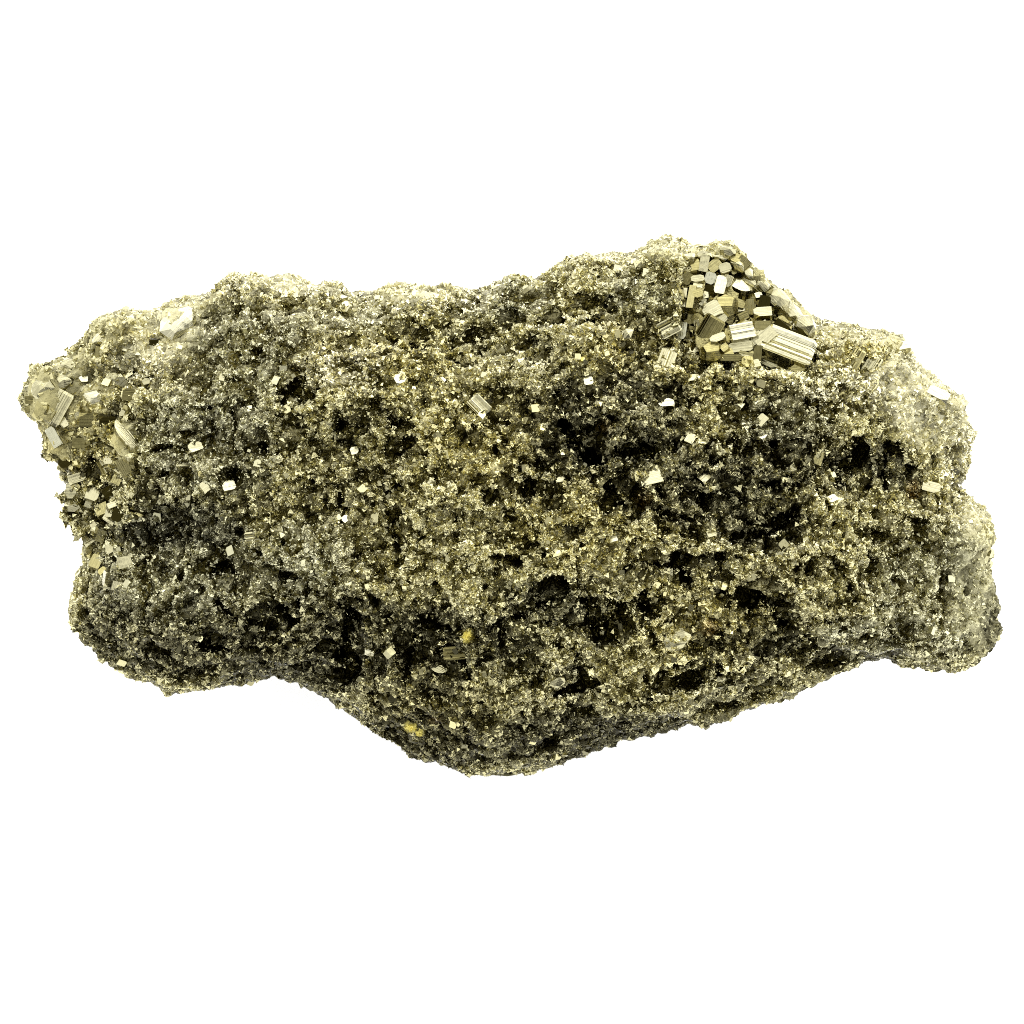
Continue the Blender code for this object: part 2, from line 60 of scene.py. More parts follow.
# The picture's frame: millimetres to a pixel at the face, and the pixel over the face's middle
PIXEL = 80.0 / 983.0
MIDDLE_PIXEL = (509.0, 508.0)
FRAME_PIXELS = 1024
LENS = 250.0
SENSOR = 36.0
VIEW_DISTANCE = FRAME_PIXELS * PIXEL * LENS / SENSOR
FRAME_MIDDLE = FRAME_PIXELS / 2 - 0.5
AIM = ((FRAME_MIDDLE - MIDDLE_PIXEL[0]) * PIXEL, (MIDDLE_PIXEL[1] - FRAME_MIDDLE) * PIXEL, 0.0)

# Draws the random places, turns and sizes, the same ones on each run
chance = np.random.default_rng(1847)


# Places and patterns


def to_face(points):
    """Part coordinates in metres to face coordinates in millimetres."""
    return (points / MM - FACE_MIDDLE) @ FACE_AXES.T


def to_part(points):
    """Face coordinates in millimetres to part coordinates in metres."""
    return (points @ FACE_AXES + FACE_MIDDLE) * MM


# Factors that scatter the place of a cell, and the shifts and factors that then mix its bits
CELL_FACTORS = (73856093, 19349663, 83492791)
SEED_FACTOR = 49979687
MIXING = ((15, 0x9E3779B97F4A7C15), (29, 0xBF58476D1CE4E5B9))
KEPT_BITS = 24


def even_numbers(cells, seed):
    """A steady number from 0 to 1 for each cell of a grid."""
    x, y, z = (cells.astype(np.int64) * CELL_FACTORS).T
    mixed = (x ^ y ^ z ^ (seed * SEED_FACTOR)).astype(np.uint64)
    for shift, factor in MIXING:
        mixed = (mixed ^ (mixed >> np.uint64(shift))) * np.uint64(factor)
    return (mixed >> np.uint64(64 - KEPT_BITS)).astype(float) / float(1 << KEPT_BITS)


def soft_step(share):
    return share * share * (3.0 - 2.0 * share)


def ease(low, high, values):
    """0 below low, 1 above high, and a soft step between."""
    return soft_step(np.clip((values - low) / (high - low), 0.0, 1.0))


# A turn that keeps the noise's grid off the stone's own directions
GRID_TURN = np.array(Euler((0.6, 1.1, 0.4)).to_matrix())


def ripple(points, width, seed):
    """Soft unevenness from -1 to 1, with bumps of one width."""
    place = points @ GRID_TURN / width
    cell = np.floor(place)
    part = soft_step(place - cell)
    total = np.zeros(len(points))
    for corner in itertools.product((0, 1), repeat=3):
        share = np.prod(np.where(np.array(corner) == 1, part, 1.0 - part), axis=1)
        total += share * even_numbers(cell + corner, seed)
    return total * 2.0 - 1.0


def ripples(points, layers, axis=0):
    """Layers of unevenness together: (share, width in mm, seed). Each axis has its own."""
    return sum(share * ripple(points, width, seed + axis) for share, width, seed in layers)


def pebbles(points, width, seed):
    """Distances to the nearest two centres of scattered pebbles, and the nearest one's number."""
    place = points / width
    cell = np.floor(place)
    nearest = np.full(len(points), np.inf)
    second = nearest.copy()
    number = np.zeros(len(points))
    for step in itertools.product((-1, 0, 1), repeat=3):
        there = cell + step
        centre = there + np.column_stack([even_numbers(there, seed + axis) for axis in range(3)])
        away = np.linalg.norm(centre - place, axis=1)
        closer = away < nearest
        second = np.where(closer, nearest, np.minimum(second, away))
        number = np.where(closer, even_numbers(there, seed + 3), number)
        nearest = np.where(closer, away, nearest)
    return nearest, second, number


def unit(vectors):
    return vectors / np.maximum(np.linalg.norm(vectors, axis=-1, keepdims=True), 1e-9)


def edge_on(normals, limit):
    """1 where the surface is seen from its edge, down to 0 where it turns to the picture by the limit."""
    return 1.0 - ease(0.0, limit, np.abs(normals[:, 2]))


def face_place(x, y):
    """The spot on the plain face behind a pixel of the picture."""
    return (x - MIDDLE_PIXEL[0]) * PIXEL, (MIDDLE_PIXEL[1] - y) * PIXEL


# Where a soft patch begins and ends to fade, in shares of its half width and height
PATCH_FADE = (0.55, 1.25)


def patches(points, spots):
    """How much each point lies in soft oval patches: (x, y, half width, half height), in pixels."""
    cover = np.zeros(len(points))
    for x, y, half_width, half_height in spots:
        u, v = face_place(x, y)
        across = (points[:, 0] - u) / (half_width * PIXEL)
        up = (points[:, 1] - v) / (half_height * PIXEL)
        cover = np.maximum(cover, 1.0 - ease(*PATCH_FADE, np.hypot(across, up)))
    return cover


# Forms: closed shapes with flat faces, about one unit across

# Faces that meet at less than this angle, in radians, are made one
FLAT_ANGLE = 0.01
# How much of a block's edge a chipped corner takes off
CHIP_SIZES = (0.02, 0.34)
# Where the ridges of a pyritohedron lie round a cube whose corners are at 1
PYRITOHEDRON_FAR = 1.5
PYRITOHEDRON_NEAR = 0.75
# How many corners a rounded crystal has, and how far out they lie
DOME_POINTS = 46
DOME_RADII = (0.44, 0.5)

# A striped block: the widths of its ribs beside each other, how far they tilt for the depth of a
# groove, the gap between two, and its sections: (place along its length, size)
RIB_WIDTHS = (0.5, 1.5)
RIB_TILT = 0.7
RIB_GAP = 0.004
STRIPED_SECTIONS = [(-0.5, 0.84), (-0.42, 1.0), (0.42, 1.0), (0.5, 0.84)]

# A crescent: its bend, how narrow its ends are, and its section: (share of its half width, height)
CRESCENT_BEND = 1.6
CRESCENT_STEPS = 8
CRESCENT_END = 0.25
CRESCENT_SECTION = [(-1.0, -0.5), (1.0, -0.5), (0.8, 0.5), (-0.8, 0.42)]


class Form:
    """A closed shape: its points, and its faces as corner numbers with a count for each face."""

    def __init__(self, points, corners, sizes):
        self.points = np.asarray(points, float)
        self.corners = np.asarray(corners, np.int64)
        self.sizes = np.asarray(sizes, np.int64)

    @staticmethod
    def of(points, faces):
        corners = np.concatenate([np.asarray(face) for face in faces])
        return Form(points, corners, [len(face) for face in faces])

    def copies(self, centres, frames, scales):
        """Many turned and scaled copies. Scales has one number, or one for each axis, a copy."""
        count = len(centres)
        scales = np.asarray(scales, float).reshape(count, -1, 1)
        shaped = self.points.T[None] * scales
        placed = np.einsum("gij,gjk->gki", frames, np.broadcast_to(shaped, (count, 3, len(self.points))))
        steps = np.arange(count)[:, None] * len(self.points)
        return Form(
            (placed + centres[:, None, :]).reshape(-1, 3),
            (self.corners[None] + steps).ravel(),
            np.tile(self.sizes, count))

    def face_starts(self):
        return np.cumsum(self.sizes) - self.sizes

    def face_normals(self):
        """Normals of the faces, as long as twice their areas."""
        starts = self.face_starts()
        following = np.arange(len(self.corners)) + 1
        following[starts + self.sizes - 1] = starts
        here = self.points[self.corners]
        return np.add.reduceat(np.cross(here, here[following]), starts, axis=0)

    def point_normals(self):
        spread = np.repeat(self.face_normals(), self.sizes, axis=0)
        gathered = [np.bincount(self.corners, spread[:, axis], len(self.points)) for axis in range(3)]
        return unit(np.column_stack(gathered))


def joined(forms):
    """Several forms as one."""
    steps = np.cumsum([0] + [len(form.points) for form in forms[:-1]])
    return Form(
        np.concatenate([form.points for form in forms]),
        np.concatenate([form.corners + step for form, step in zip(forms, steps)]),
        np.concatenate([form.sizes for form in forms]))


def hull_form(points):
    """The form stretched round some points."""
    bm = bmesh.new()
    for point in points:
        bm.verts.new(point)
    made = bmesh.ops.convex_hull(bm, input=bm.verts)
    spare = made["geom_interior"] + made["geom_unused"]
    inner = {item for item in spare if isinstance(item, bmesh.types.BMVert)}
    bmesh.ops.delete(bm, geom=list(inner), context="VERTS")
    bmesh.ops.dissolve_limit(bm, angle_limit=FLAT_ANGLE, verts=bm.verts, edges=bm.edges)
    bmesh.ops.recalc_face_normals(bm, faces=bm.faces)
    bm.verts.index_update()
    faces = [[vert.index for vert in face.verts] for face in bm.faces]
    form = Form.of([vert.co[:] for vert in bm.verts], faces)
    bm.free()
    return form


def corner_form():
    """The corner of a cube that stands on its base: tip up, three square-cut facets."""
    reach = math.sqrt(2.0 / 3.0)
    turns = (0.0, 2.0 * math.pi / 3.0, 4.0 * math.pi / 3.0)
    foot = [(reach * math.cos(turn), reach * math.sin(turn), 0.0) for turn in turns]
    tip = (0.0, 0.0, 1.0 / math.sqrt(3.0))
    return Form.of([tip, *foot], [(0, 1, 2), (0, 2, 3), (0, 3, 1), (3, 2, 1)])


def block_form():
    return hull_form(list(itertools.product((-0.5, 0.5), repeat=3)))


def chipped_form(seed):
    """A block whose corners are cut off, each by its own amount."""
    dice = np.random.default_rng(seed)
    points = []
    for corner in itertools.product((-0.5, 0.5), repeat=3):
        cut = dice.uniform(*CHIP_SIZES)
        for axis in range(3):
            point = np.array(corner)
            point[axis] *= 1.0 - 2.0 * cut
            points.append(point)
    return hull_form(points)


def pyritohedron_form():
    """The twelve-faced form of pyrite."""
    points = []
    for x, y in itertools.product((-1.0, 1.0), repeat=2):
        ridge = (0.0, x * PYRITOHEDRON_NEAR, y * PYRITOHEDRON_FAR)
        points += [(x, y, 1.0), (x, y, -1.0), ridge, ridge[1:] + ridge[:1], ridge[2:] + ridge[:2]]
    return hull_form(np.array(points) / (2.0 * PYRITOHEDRON_FAR))


def dome_form(seed):
    """A rounded crystal with many small faces."""
    dice = np.random.default_rng(seed)
    ways = unit(dice.normal(size=(DOME_POINTS, 3)))
    return hull_form(ways * dice.uniform(*DOME_RADII, (DOME_POINTS, 1)))


def outward_form(form):
    """The same form with every face looking out."""
    normals = form.face_normals()
    starts = form.face_starts()
    first = form.points[form.corners[starts]]
    if (first * normals).sum() < 0.0:
        pieces = np.split(form.corners, starts[1:])
        return Form.of(form.points, [piece[::-1] for piece in pieces])
    return form


def tube_form(rings):
    """A closed tube through rings with the same number of points."""
    count = len(rings[0])
    last = (len(rings) - 1) * count
    faces = [list(range(count)), list(range(last + count - 1, last - 1, -1))]
    for low in range(0, last, count):
        for here in range(count):
            after = (here + 1) % count
            faces.append([low + here, low + count + here, low + count + after, low + after])
    return outward_form(Form.of(np.concatenate(rings), faces))


def striped_form(seed, stripes, groove):
    """A block whose upper face carries straight ribs and grooves along its length."""
    dice = np.random.default_rng(seed)
    widths = dice.uniform(*RIB_WIDTHS, stripes)
    edges = np.concatenate(((0.0,), np.cumsum(widths) / widths.sum())) - 0.5
    profile = [(-0.5, -0.5), (0.5, -0.5)]
    for number in reversed(range(stripes)):
        level = 0.5 - groove * dice.uniform(0.0, 1.0)
        tilt = groove * dice.uniform(-RIB_TILT, RIB_TILT)
        profile += [(edges[number + 1] - RIB_GAP, level + tilt), (edges[number] + RIB_GAP, level - tilt)]
    rings = [[(x * size, along, z * size) for x, z in profile] for along, size in STRIPED_SECTIONS]
    return tube_form(rings)


def crescent_form():
    """A slab bent along its length that narrows to both ends."""
    radius = 1.0 / CRESCENT_BEND
    rings = []
    for share in np.linspace(0.0, 1.0, CRESCENT_STEPS + 1):
        turn = (share - 0.5) * CRESCENT_BEND
        wide = 0.5 * (CRESCENT_END + (1.0 - CRESCENT_END) * math.sin(math.pi * share))
        reaches = [(radius + wide * side, level) for side, level in CRESCENT_SECTION]
        rings.append([(r * math.cos(turn) - radius, r * math.sin(turn), level) for r, level in reaches])
    return tube_form(rings)


# Pieces, and flat layouts for their colours

# The gap round a tile, and the radius of a face in its cell, as shares of them
LAYOUT_GAP = 0.03
CELL_RADIUS = 0.42


def inset(layout):
    """A layout from 0 to 1, drawn in from the edges of its tile."""
    return layout * (1.0 - 2.0 * LAYOUT_GAP) + LAYOUT_GAP


def box_layout(form):
    """Six tiles, one for each way that the faces look."""
    normals = form.face_normals()
    axis = np.abs(normals).argmax(axis=1)
    back = normals[np.arange(len(normals)), axis] < 0.0
    low, high = form.points.min(axis=0), form.points.max(axis=0)
    places = ((form.points - low) / (high - low))[form.corners]
    axis, back = np.repeat(axis, form.sizes), np.repeat(back, form.sizes)
    layout = np.empty((len(form.corners), 2))
    for way in range(3):
        others = [other for other in range(3) if other != way]
        chosen = axis == way
        layout[chosen] = places[chosen][:, others]
    return (inset(layout) + np.column_stack((axis, back))) / (3.0, 2.0)


def cell_layout(layouts):
    """A small square for each of many crystals."""
    across = math.ceil(math.sqrt(len(layouts)))
    return np.concatenate([
        (inset(layout) + (number % across, number // across)) / across
        for number, layout in enumerate(layouts)])


def same_layout(form, count):
    """The cell layout for many copies of one form, stacked up by face."""
    across = math.ceil(math.sqrt(count))
    numbers = np.arange(count)
    start = np.column_stack((numbers % across, numbers // across))[:, None, :]
    within = np.concatenate([
        0.5 + CELL_RADIUS * np.column_stack((np.cos(turns), np.sin(turns)))
        for turns in (np.arange(size) / size * 2.0 * math.pi for size in form.sizes)])
    return ((start + within[None]) / across).reshape(-1, 2)


def in_scene(name, data):
    """A mesh, light or camera as an object of the scene."""
    made = bpy.data.objects.new(name, data)
    bpy.context.scene.collection.objects.link(made)
    return made


def mesh_piece(name, form, finish, values, layout):
    """A finished piece that rides with the stone. Values has numbers for each point."""
    places = to_part(form.points)
    places[:, 2] = np.maximum(places[:, 2], 0.0)
    mesh = bpy.data.meshes.new(name)
    mesh.vertices.add(len(places))
    mesh.vertices.foreach_set("co", places.astype(np.float32).ravel())
    mesh.loops.add(len(form.corners))
    mesh.loops.foreach_set("vertex_index", form.corners.astype(np.int32))
    mesh.polygons.add(len(form.sizes))
    mesh.polygons.foreach_set("loop_start", form.face_starts().astype(np.int32))
    mesh.update(calc_edges=True)
    mesh.shade_flat()
    for label, numbers in values.items():
        carried = mesh.attributes.new(label, "FLOAT", "POINT")
        carried.data.foreach_set("value", np.asarray(numbers, np.float32))
    flat = mesh.uv_layers.new(name="OFBake", do_init=False)
    flat.uv.foreach_set("vector", layout.astype(np.float32).ravel())
    mesh.materials.append(finish.material)
    piece = in_scene(name, mesh)
    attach(piece, "root")
    print(name, (form.sizes - 2).sum(), "triangles")
    return piece


# The stone's surface

# The size of its quads in mm, and the rounds that smooth it
SKIN_VOXEL = 0.37
SKIN_SMOOTHING = 2
SMOOTHING_SHARE = 0.5

# Knobs that the grains build: (width and height in mm, strength of the creases, seed), where the
# creases between them lie, and how domed, unequal and creased they are for their heights
KNOBS = [(4.6, 0.3, 0.2, 7), (2.4, 0.42, 0.4, 107), (1.3, 0.5, 0.6, 207), (0.8, 0.35, 0.5, 307)]
CREASE = (0.03, 0.34)
KNOB_DOME = 0.7
KNOB_UNEQUAL = 0.18
KNOB_CREASE = 0.45
# How much flatter they are on bare stone and on edges
BARE_FLATTER = 0.85
EDGE_FLATTER = 0.4

# Layers of unevenness, (share, width in mm, seed): what warps the knobs, what makes hollows ragged,
# what scatters them, what bends the placed ones, and what varies their depth
KNOB_WARP = [(0.5, 1.7, 40)]
RAGGED_WIDE = [(0.38, 1.5, 61)]
RAGGED_FINE = [(0.45, 0.8, 62), (0.3, 0.45, 63)]
SCATTER = [(0.25, 5.0, 64)]
HOLLOW_BEND = [(0.4, 1.3, 81), (0.3, 0.6, 83)]
HOLLOW_UNEVEN = [(0.5, 1.1, 65), (0.3, 0.6, 66)]
UNEVEN_MIDDLE = 0.85

# Scattered hollows: where they begin and are deepest, their depth in mm, and where they are fewer
SCATTERED = (0.18, 0.55)
SCATTERED_DEPTH = 0.6
GREY_FEWER = 0.15
EDGE_FEWER = 0.2

# Placed gullies and pits: how deep they are for the tables' depths, how far past its edge and how
# raggedly each one reaches, over what share of its width it deepens, and how near it holds, in mm
PLACED_DEPTH = 1.1
PLACED_REACH = 0.8
PLACED_RAGGED = 0.5
GULLY_SLOPE = 0.7
PIT_SLOPE = 0.9
PLACED_NEAR = 3.0

# How far the surface turns to the picture where it counts as its front, and as its edge
SINK_FRONT = (0.1, 0.5)
SINK_EDGE = 0.45
# The surface is drawn out by a margin in mm, sinks only above the floor, and counts as deep by this
DRAWN_OUT = 0.25
ABOVE_FLOOR = (0.02, 0.5)
DEEPEST = 1.9

# Rounds of evening that set how wide the surroundings of a recess are, and its limits in mm
EVENING_ROUNDS = 60
DEEP_RECESS = 0.5
RECESS_LIMITS = (-0.6, 1.0)

# The solid's round hollows are filled in by this share, so that the grains and gullies break them up
FILL_ROUNDS = 200
FILL_SHARE = 0.85
FILL_FROM = (0.1, 0.9)

# Granular lumps that stand out: (x, y, half width, half height) in pixels, and their rise in mm
LUMPS = [
    (713, 370, 15, 10, 0.8), (747, 367, 17, 11, 0.9), (786, 378, 15, 9, 0.7), (625, 331, 13, 10, 0.6),
    (677, 640, 17, 13, 0.4), (563, 672, 10, 7, 0.3), (718, 680, 13, 9, 0.3), (722, 253, 11, 8, 0.3),
    (740, 261, 12, 8, 0.3), (757, 272, 10, 8, 0.3), (771, 289, 9, 8, 0.3), (786, 308, 10, 8, 0.3),
    (804, 326, 10, 7, 0.3), (346, 305, 14, 9, 0.4), (560, 300, 12, 9, 0.4), (640, 300, 16, 12, 0.5),
]
# How far below its top a lump reaches, in mm
LUMP_DEPTH = 1.3

# Places where the outline is drawn out or in: (x, y, reach, right, down) in pixels
BULGES = [
    (48, 372, 55, -7, -11), (88, 330, 35, -3, -8), (470, 762, 55, 0, 9), (165, 684, 35, 0, 10),
    (945, 660, 55, 2, 9), (995, 630, 40, 3, 2), (437, 280, 28, 0, 11), (350, 284, 28, 0, 6),
    (392, 748, 40, 7, -13), (740, 722, 90, 0, -9), (690, 735, 30, 0, -4), (882, 665, 20, 0, -8),
    (70, 510, 22, -9, 0), (62, 470, 24, -7, 0), (968, 470, 35, 8, 0), (990, 530, 40, 5, 0),
]

# Gullies between the knobs: half width in pixels, depth in mm, then the places they run through
GULLIES = [
    (10, 1.5, (563, 424), (575, 446), (598, 458)), (9, 1.1, (598, 458), (622, 452), (655, 450)),
    (7, 0.9, (590, 462), (592, 488)), (8, 1.1, (612, 490), (628, 508)),
    (9, 1.0, (520, 462), (530, 488)), (7, 1.0, (762, 482), (792, 490)),
    (9, 0.9, (772, 446), (782, 458)), (11, 1.2, (708, 500), (738, 494)),
    (9, 0.8, (655, 512), (690, 514)), (10, 1.3, (742, 538), (775, 530), (796, 510)),
    (10, 1.5, (866, 438), (852, 470)), (7, 1.2, (892, 446), (886, 476)),
    (5, 1.3, (626, 566), (660, 565), (722, 562)), (8, 1.4, (680, 566), (690, 582)),
    (8, 1.2, (536, 588), (556, 590), (580, 586)), (13, 1.5, (592, 606), (604, 636)),
    (9, 0.8, (612, 612), (628, 630)), (7, 0.9, (644, 592), (650, 620), (650, 648)),
    (10, 1.5, (742, 594), (770, 612), (808, 648)), (9, 1.5, (656, 686), (668, 674)),
    (7, 0.9, (684, 678), (712, 686), (750, 690)), (8, 1.3, (562, 692), (590, 688)),
    (6, 1.2, (496, 556), (514, 566)), (13, 1.6, (352, 604), (346, 640), (340, 682)),
    (7, 1.0, (350, 604), (372, 604)), (8, 1.1, (408, 640), (408, 684)),
    (8, 0.9, (424, 618), (446, 632)), (7, 0.9, (204, 566), (236, 570)),
    (8, 0.9, (214, 600), (232, 618)), (7, 1.1, (264, 606), (292, 624)),
    (6, 0.9, (284, 576), (304, 580)), (7, 0.8, (150, 448), (190, 446)),
    (4, 1.0, (364, 704), (382, 720)), (4, 0.9, (426, 738), (432, 758)),
    (6, 1.0, (392, 514), (392, 552)), (6, 0.8, (804, 668), (832, 666)),
    (7, 0.8, (612, 708), (648, 712)), (7, 1.3, (396, 330), (420, 342)),
    (6, 1.7, (282, 391), (312, 391)), (6, 1.6, (288, 396), (287, 412)),
    (7, 0.8, (860, 528), (886, 530)), (6, 0.8, (200, 650), (252, 658)),
    (7, 0.7, (545, 742), (560, 748)),
]

# Pits by their place in the picture: (x, y, half width, half height) in pixels, depth in mm
PITS = [
    (340, 425, 6, 11, 1.6), (261, 441, 9, 4, 1.2), (255, 347, 11, 7, 0.9), (255, 297, 12, 8, 0.6),
    (315, 368, 11, 3, 0.7), (743, 658, 13, 9, 1.5), (241, 435, 6, 3, 0.9), (286, 452, 4, 4, 0.9),
    (237, 466, 9, 4, 0.7), (170, 449, 16, 5, 1.0), (188, 469, 6, 3, 0.8), (311, 484, 5, 12, 0.9),
    (235, 533, 8, 6, 1.0), (277, 540, 6, 8, 0.8), (205, 562, 18, 4, 1.1), (235, 566, 9, 6, 0.9),
    (266, 571, 8, 6, 0.9), (146, 508, 6, 5, 0.6), (357, 346, 5, 5, 0.8), (400, 450, 6, 4, 1.0),
    (419, 454, 6, 6, 1.1), (456, 340, 6, 5, 1.0), (463, 351, 5, 5, 0.9), (506, 311, 7, 5, 1.0),
    (543, 316, 6, 5, 1.0), (574, 296, 7, 5, 0.8), (594, 303, 6, 5, 0.8), (528, 522, 6, 6, 1.0),
    (562, 535, 6, 4, 0.9), (600, 541, 5, 5, 1.0), (668, 543, 6, 4, 0.9), (629, 546, 4, 6, 1.0),
    (547, 559, 7, 4, 0.6), (631, 368, 7, 6, 1.0), (690, 360, 6, 10, 1.5), (536, 598, 9, 7, 0.9),
    (729, 582, 5, 4, 0.8), (538, 651, 14, 4, 1.0), (586, 710, 6, 5, 0.9), (437, 694, 10, 5, 1.2),
    (460, 677, 17, 4, 1.1), (484, 632, 6, 12, 0.8), (510, 599, 7, 5, 0.9), (372, 712, 10, 5, 0.8),
    (376, 662, 8, 5, 0.9), (394, 518, 6, 6, 1.3), (393, 535, 5, 9, 1.2), (388, 550, 5, 5, 1.0),
    (345, 513, 5, 5, 0.9), (414, 534, 6, 6, 1.1), (442, 503, 6, 5, 1.0), (321, 520, 5, 5, 0.9),
    (483, 588, 6, 5, 0.9), (455, 560, 5, 4, 0.8), (888, 482, 6, 6, 1.1), (868, 486, 5, 5, 1.0),
    (795, 496, 8, 7, 1.1), (750, 463, 8, 5, 0.9), (818, 446, 9, 5, 0.9), (827, 551, 8, 4, 0.9),
    (879, 556, 7, 5, 0.9), (877, 532, 10, 4, 0.8), (747, 403, 8, 5, 0.9), (816, 403, 4, 5, 0.8),
    (837, 407, 4, 7, 0.8), (904, 497, 9, 13, 0.7), (921, 446, 8, 6, 0.8), (940, 456, 8, 6, 0.8),
    (842, 636, 8, 6, 1.1), (904, 631, 6, 4, 0.9), (897, 576, 5, 5, 0.9), (969, 588, 6, 5, 0.9),
    (922, 607, 5, 4, 0.8), (809, 671, 10, 5, 1.1), (197, 594, 7, 5, 1.1), (279, 667, 7, 4, 0.9),
    (700, 612, 10, 6, 0.9), (305, 650, 12, 5, 1.0),
]

# Patches where the grains lie smoother, and how smooth they are
SOFT_PATCHES = [
    (60, 400, 60, 60), (115, 328, 60, 26), (930, 395, 62, 62), (980, 560, 36, 100), (650, 250, 60, 14),
    (740, 258, 44, 18), (785, 305, 40, 34), (300, 281, 60, 12), (190, 300, 40, 14), (860, 330, 50, 16),
    (985, 625, 24, 50), (700, 252, 40, 14), (160, 335, 50, 36), (400, 292, 60, 12),
]
SOFTNESS = 0.5

# Patches of greyer and finer grain, of golden grain, of pale stone partly with painted light, and of bare
# smooth stone: (x, y, half width, half height) in pixels
GREY_PATCHES = [
    (250, 350, 75, 55), (210, 440, 80, 70), (190, 560, 110, 70), (300, 560, 70, 50), (930, 590, 75, 75),
    (640, 300, 40, 30), (500, 300, 60, 25), (350, 310, 60, 25), (780, 420, 60, 30), (860, 640, 60, 30),
]
GOLD_PATCHES = [
    (690, 350, 120, 60), (430, 370, 60, 40), (475, 440, 80, 50), (585, 520, 90, 50), (850, 352, 36, 26),
    (85, 440, 50, 50), (440, 700, 70, 50), (690, 620, 90, 50), (145, 365, 50, 40), (350, 370, 60, 32),
    (340, 296, 90, 22),
]
# Pale patches: partly pale stone, partly painted light where the stone lies brightly lit
PALE_AND_LIT_PATCHES = [
    (925, 395, 66, 50), (175, 320, 30, 26), (960, 460, 26, 40), (965, 512, 26, 18), (845, 390, 60, 25),
    (250, 285, 70, 16), (330, 290, 50, 14), (150, 365, 44, 30), (345, 372, 44, 26), (440, 300, 70, 20),
]
# Lighter and darker patches: partly the stone's own lighter and darker zones, partly painted light on its
# well-lit parts and painted shade on its shaded ones
LIGHT_AND_LIT_PATCHES = [
    (145, 375, 60, 40), (180, 312, 60, 35), (345, 302, 120, 36), (470, 292, 70, 24), (270, 375, 70, 30),
    (350, 372, 70, 45), (160, 455, 55, 30), (460, 460, 55, 50), (370, 545, 80, 40), (560, 290, 50, 30),
    (660, 262, 70, 32), (850, 385, 75, 50), (940, 420, 70, 80), (930, 560, 60, 70), (870, 550, 80, 45),
    (650, 655, 50, 28), (160, 380, 60, 50), (360, 375, 55, 40), (350, 318, 100, 38), (880, 540, 60, 60),
    (290, 330, 60, 30), (440, 292, 80, 24), (290, 535, 45, 30), (640, 545, 60, 18), (430, 575, 70, 30),
    (475, 540, 60, 34), (750, 430, 60, 25), (925, 400, 75, 60), (955, 450, 40, 70), (185, 370, 50, 40),
    (270, 290, 90, 30), (390, 298, 100, 26), (660, 580, 30, 10), (270, 592, 40, 8), (640, 670, 40, 22),
    (850, 540, 70, 44), (960, 560, 40, 60), (84, 560, 22, 40), (845, 425, 50, 28),
]
DARK_AND_SHADED_PATCHES = [
    (320, 645, 140, 50), (600, 440, 90, 50), (710, 490, 90, 50), (430, 650, 90, 50), (560, 735, 90, 30),
    (620, 400, 70, 30), (770, 455, 60, 40), (430, 735, 80, 40), (640, 730, 60, 20), (752, 640, 46, 20),
    (110, 620, 30, 50), (190, 525, 70, 26), (455, 640, 60, 40), (545, 600, 45, 25), (760, 520, 60, 30),
    (885, 466, 30, 30), (180, 640, 90, 40), (330, 630, 120, 40), (240, 640, 60, 30), (992, 620, 16, 50),
]
BARE_PATCHES = [
    (924, 376, 17, 8), (892, 340, 16, 8), (955, 404, 14, 7), (46, 400, 24, 36), (60, 450, 12, 20),
    (178, 318, 20, 16), (792, 312, 26, 24), (758, 280, 16, 12), (126, 441, 12, 19),
]
# Colour alone: sulphur-yellow and rusty spots
YELLOW_PATCHES = [(468, 633, 5, 7), (411, 725, 7, 5), (420, 731, 4, 3)]
RUSTY_PATCHES = [(435, 717, 7, 4), (705, 625, 9, 9), (600, 428, 9, 6), (640, 500, 10, 8), (908, 490, 8, 10)]
# The smooth rim under the lower edge: (x, y, half width) in pixels
RIM_LINE = [
    (598, 751, 3), (650, 739, 4), (700, 729, 8), (760, 712, 9), (800, 694, 7), (850, 674, 8),
    (885, 662, 4),
]
RIM_FADE = (0.5, 1.1)


def mesh_form(mesh):
    """A mesh as a form in face coordinates."""
    points = np.empty(len(mesh.vertices) * 3)
    mesh.vertices.foreach_get("co", points)
    corners = np.empty(len(mesh.loops), np.int64)
    mesh.loops.foreach_get("vertex_index", corners)
    sizes = np.empty(len(mesh.polygons), np.int64)
    mesh.polygons.foreach_get("loop_total", sizes)
    return Form(to_face(points.reshape(-1, 3)), corners, sizes)


def add_lumps(mesh):
    """Set rounded lumps on the surface of a mesh, to be joined with it when it is cut again."""
    tree = search_tree(mesh_form(mesh))
    bm = bmesh.new()
    bm.from_mesh(mesh)
    for x, y, half_width, half_height, rise in LUMPS:
        place, _ = seen_at(tree, x, y)
        centre = to_part(place + np.array((0.0, 0.0, rise - LUMP_DEPTH)))
        reach = np.array((half_width * PIXEL, half_height * PIXEL, LUMP_DEPTH)) * MM
        matrix = Matrix.Translation(centre) @ Matrix((FACE_AXES * reach[:, None]).T).to_4x4()
        bmesh.ops.create_icosphere(bm, subdivisions=3, radius=1.0, matrix=matrix)
    bm.to_mesh(mesh)
    bm.free()


def solid_form(node, voxel, smoothing, lumps=False):
    """The surface of one of the part's solids, cut evenly and fine."""
    copy = in_scene("copy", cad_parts[node].data.copy())
    if lumps:
        add_lumps(copy.data)
    remesh = copy.modifiers.new("Remesh", "REMESH")
    remesh.mode = "VOXEL"
    remesh.voxel_size = voxel * MM
    soften = copy.modifiers.new("Smooth", "SMOOTH")
    soften.factor = SMOOTHING_SHARE
    soften.iterations = smoothing
    form = mesh_form(copy.evaluated_get(bpy.context.evaluated_depsgraph_get()).to_mesh())
    bpy.data.objects.remove(copy)
    return form


def search_tree(form):
    """What finds the place where a line of sight meets a form."""
    faces = np.split(form.corners, form.face_starts()[1:])
    return BVHTree.FromPolygons(form.points.tolist(), [face.tolist() for face in faces])


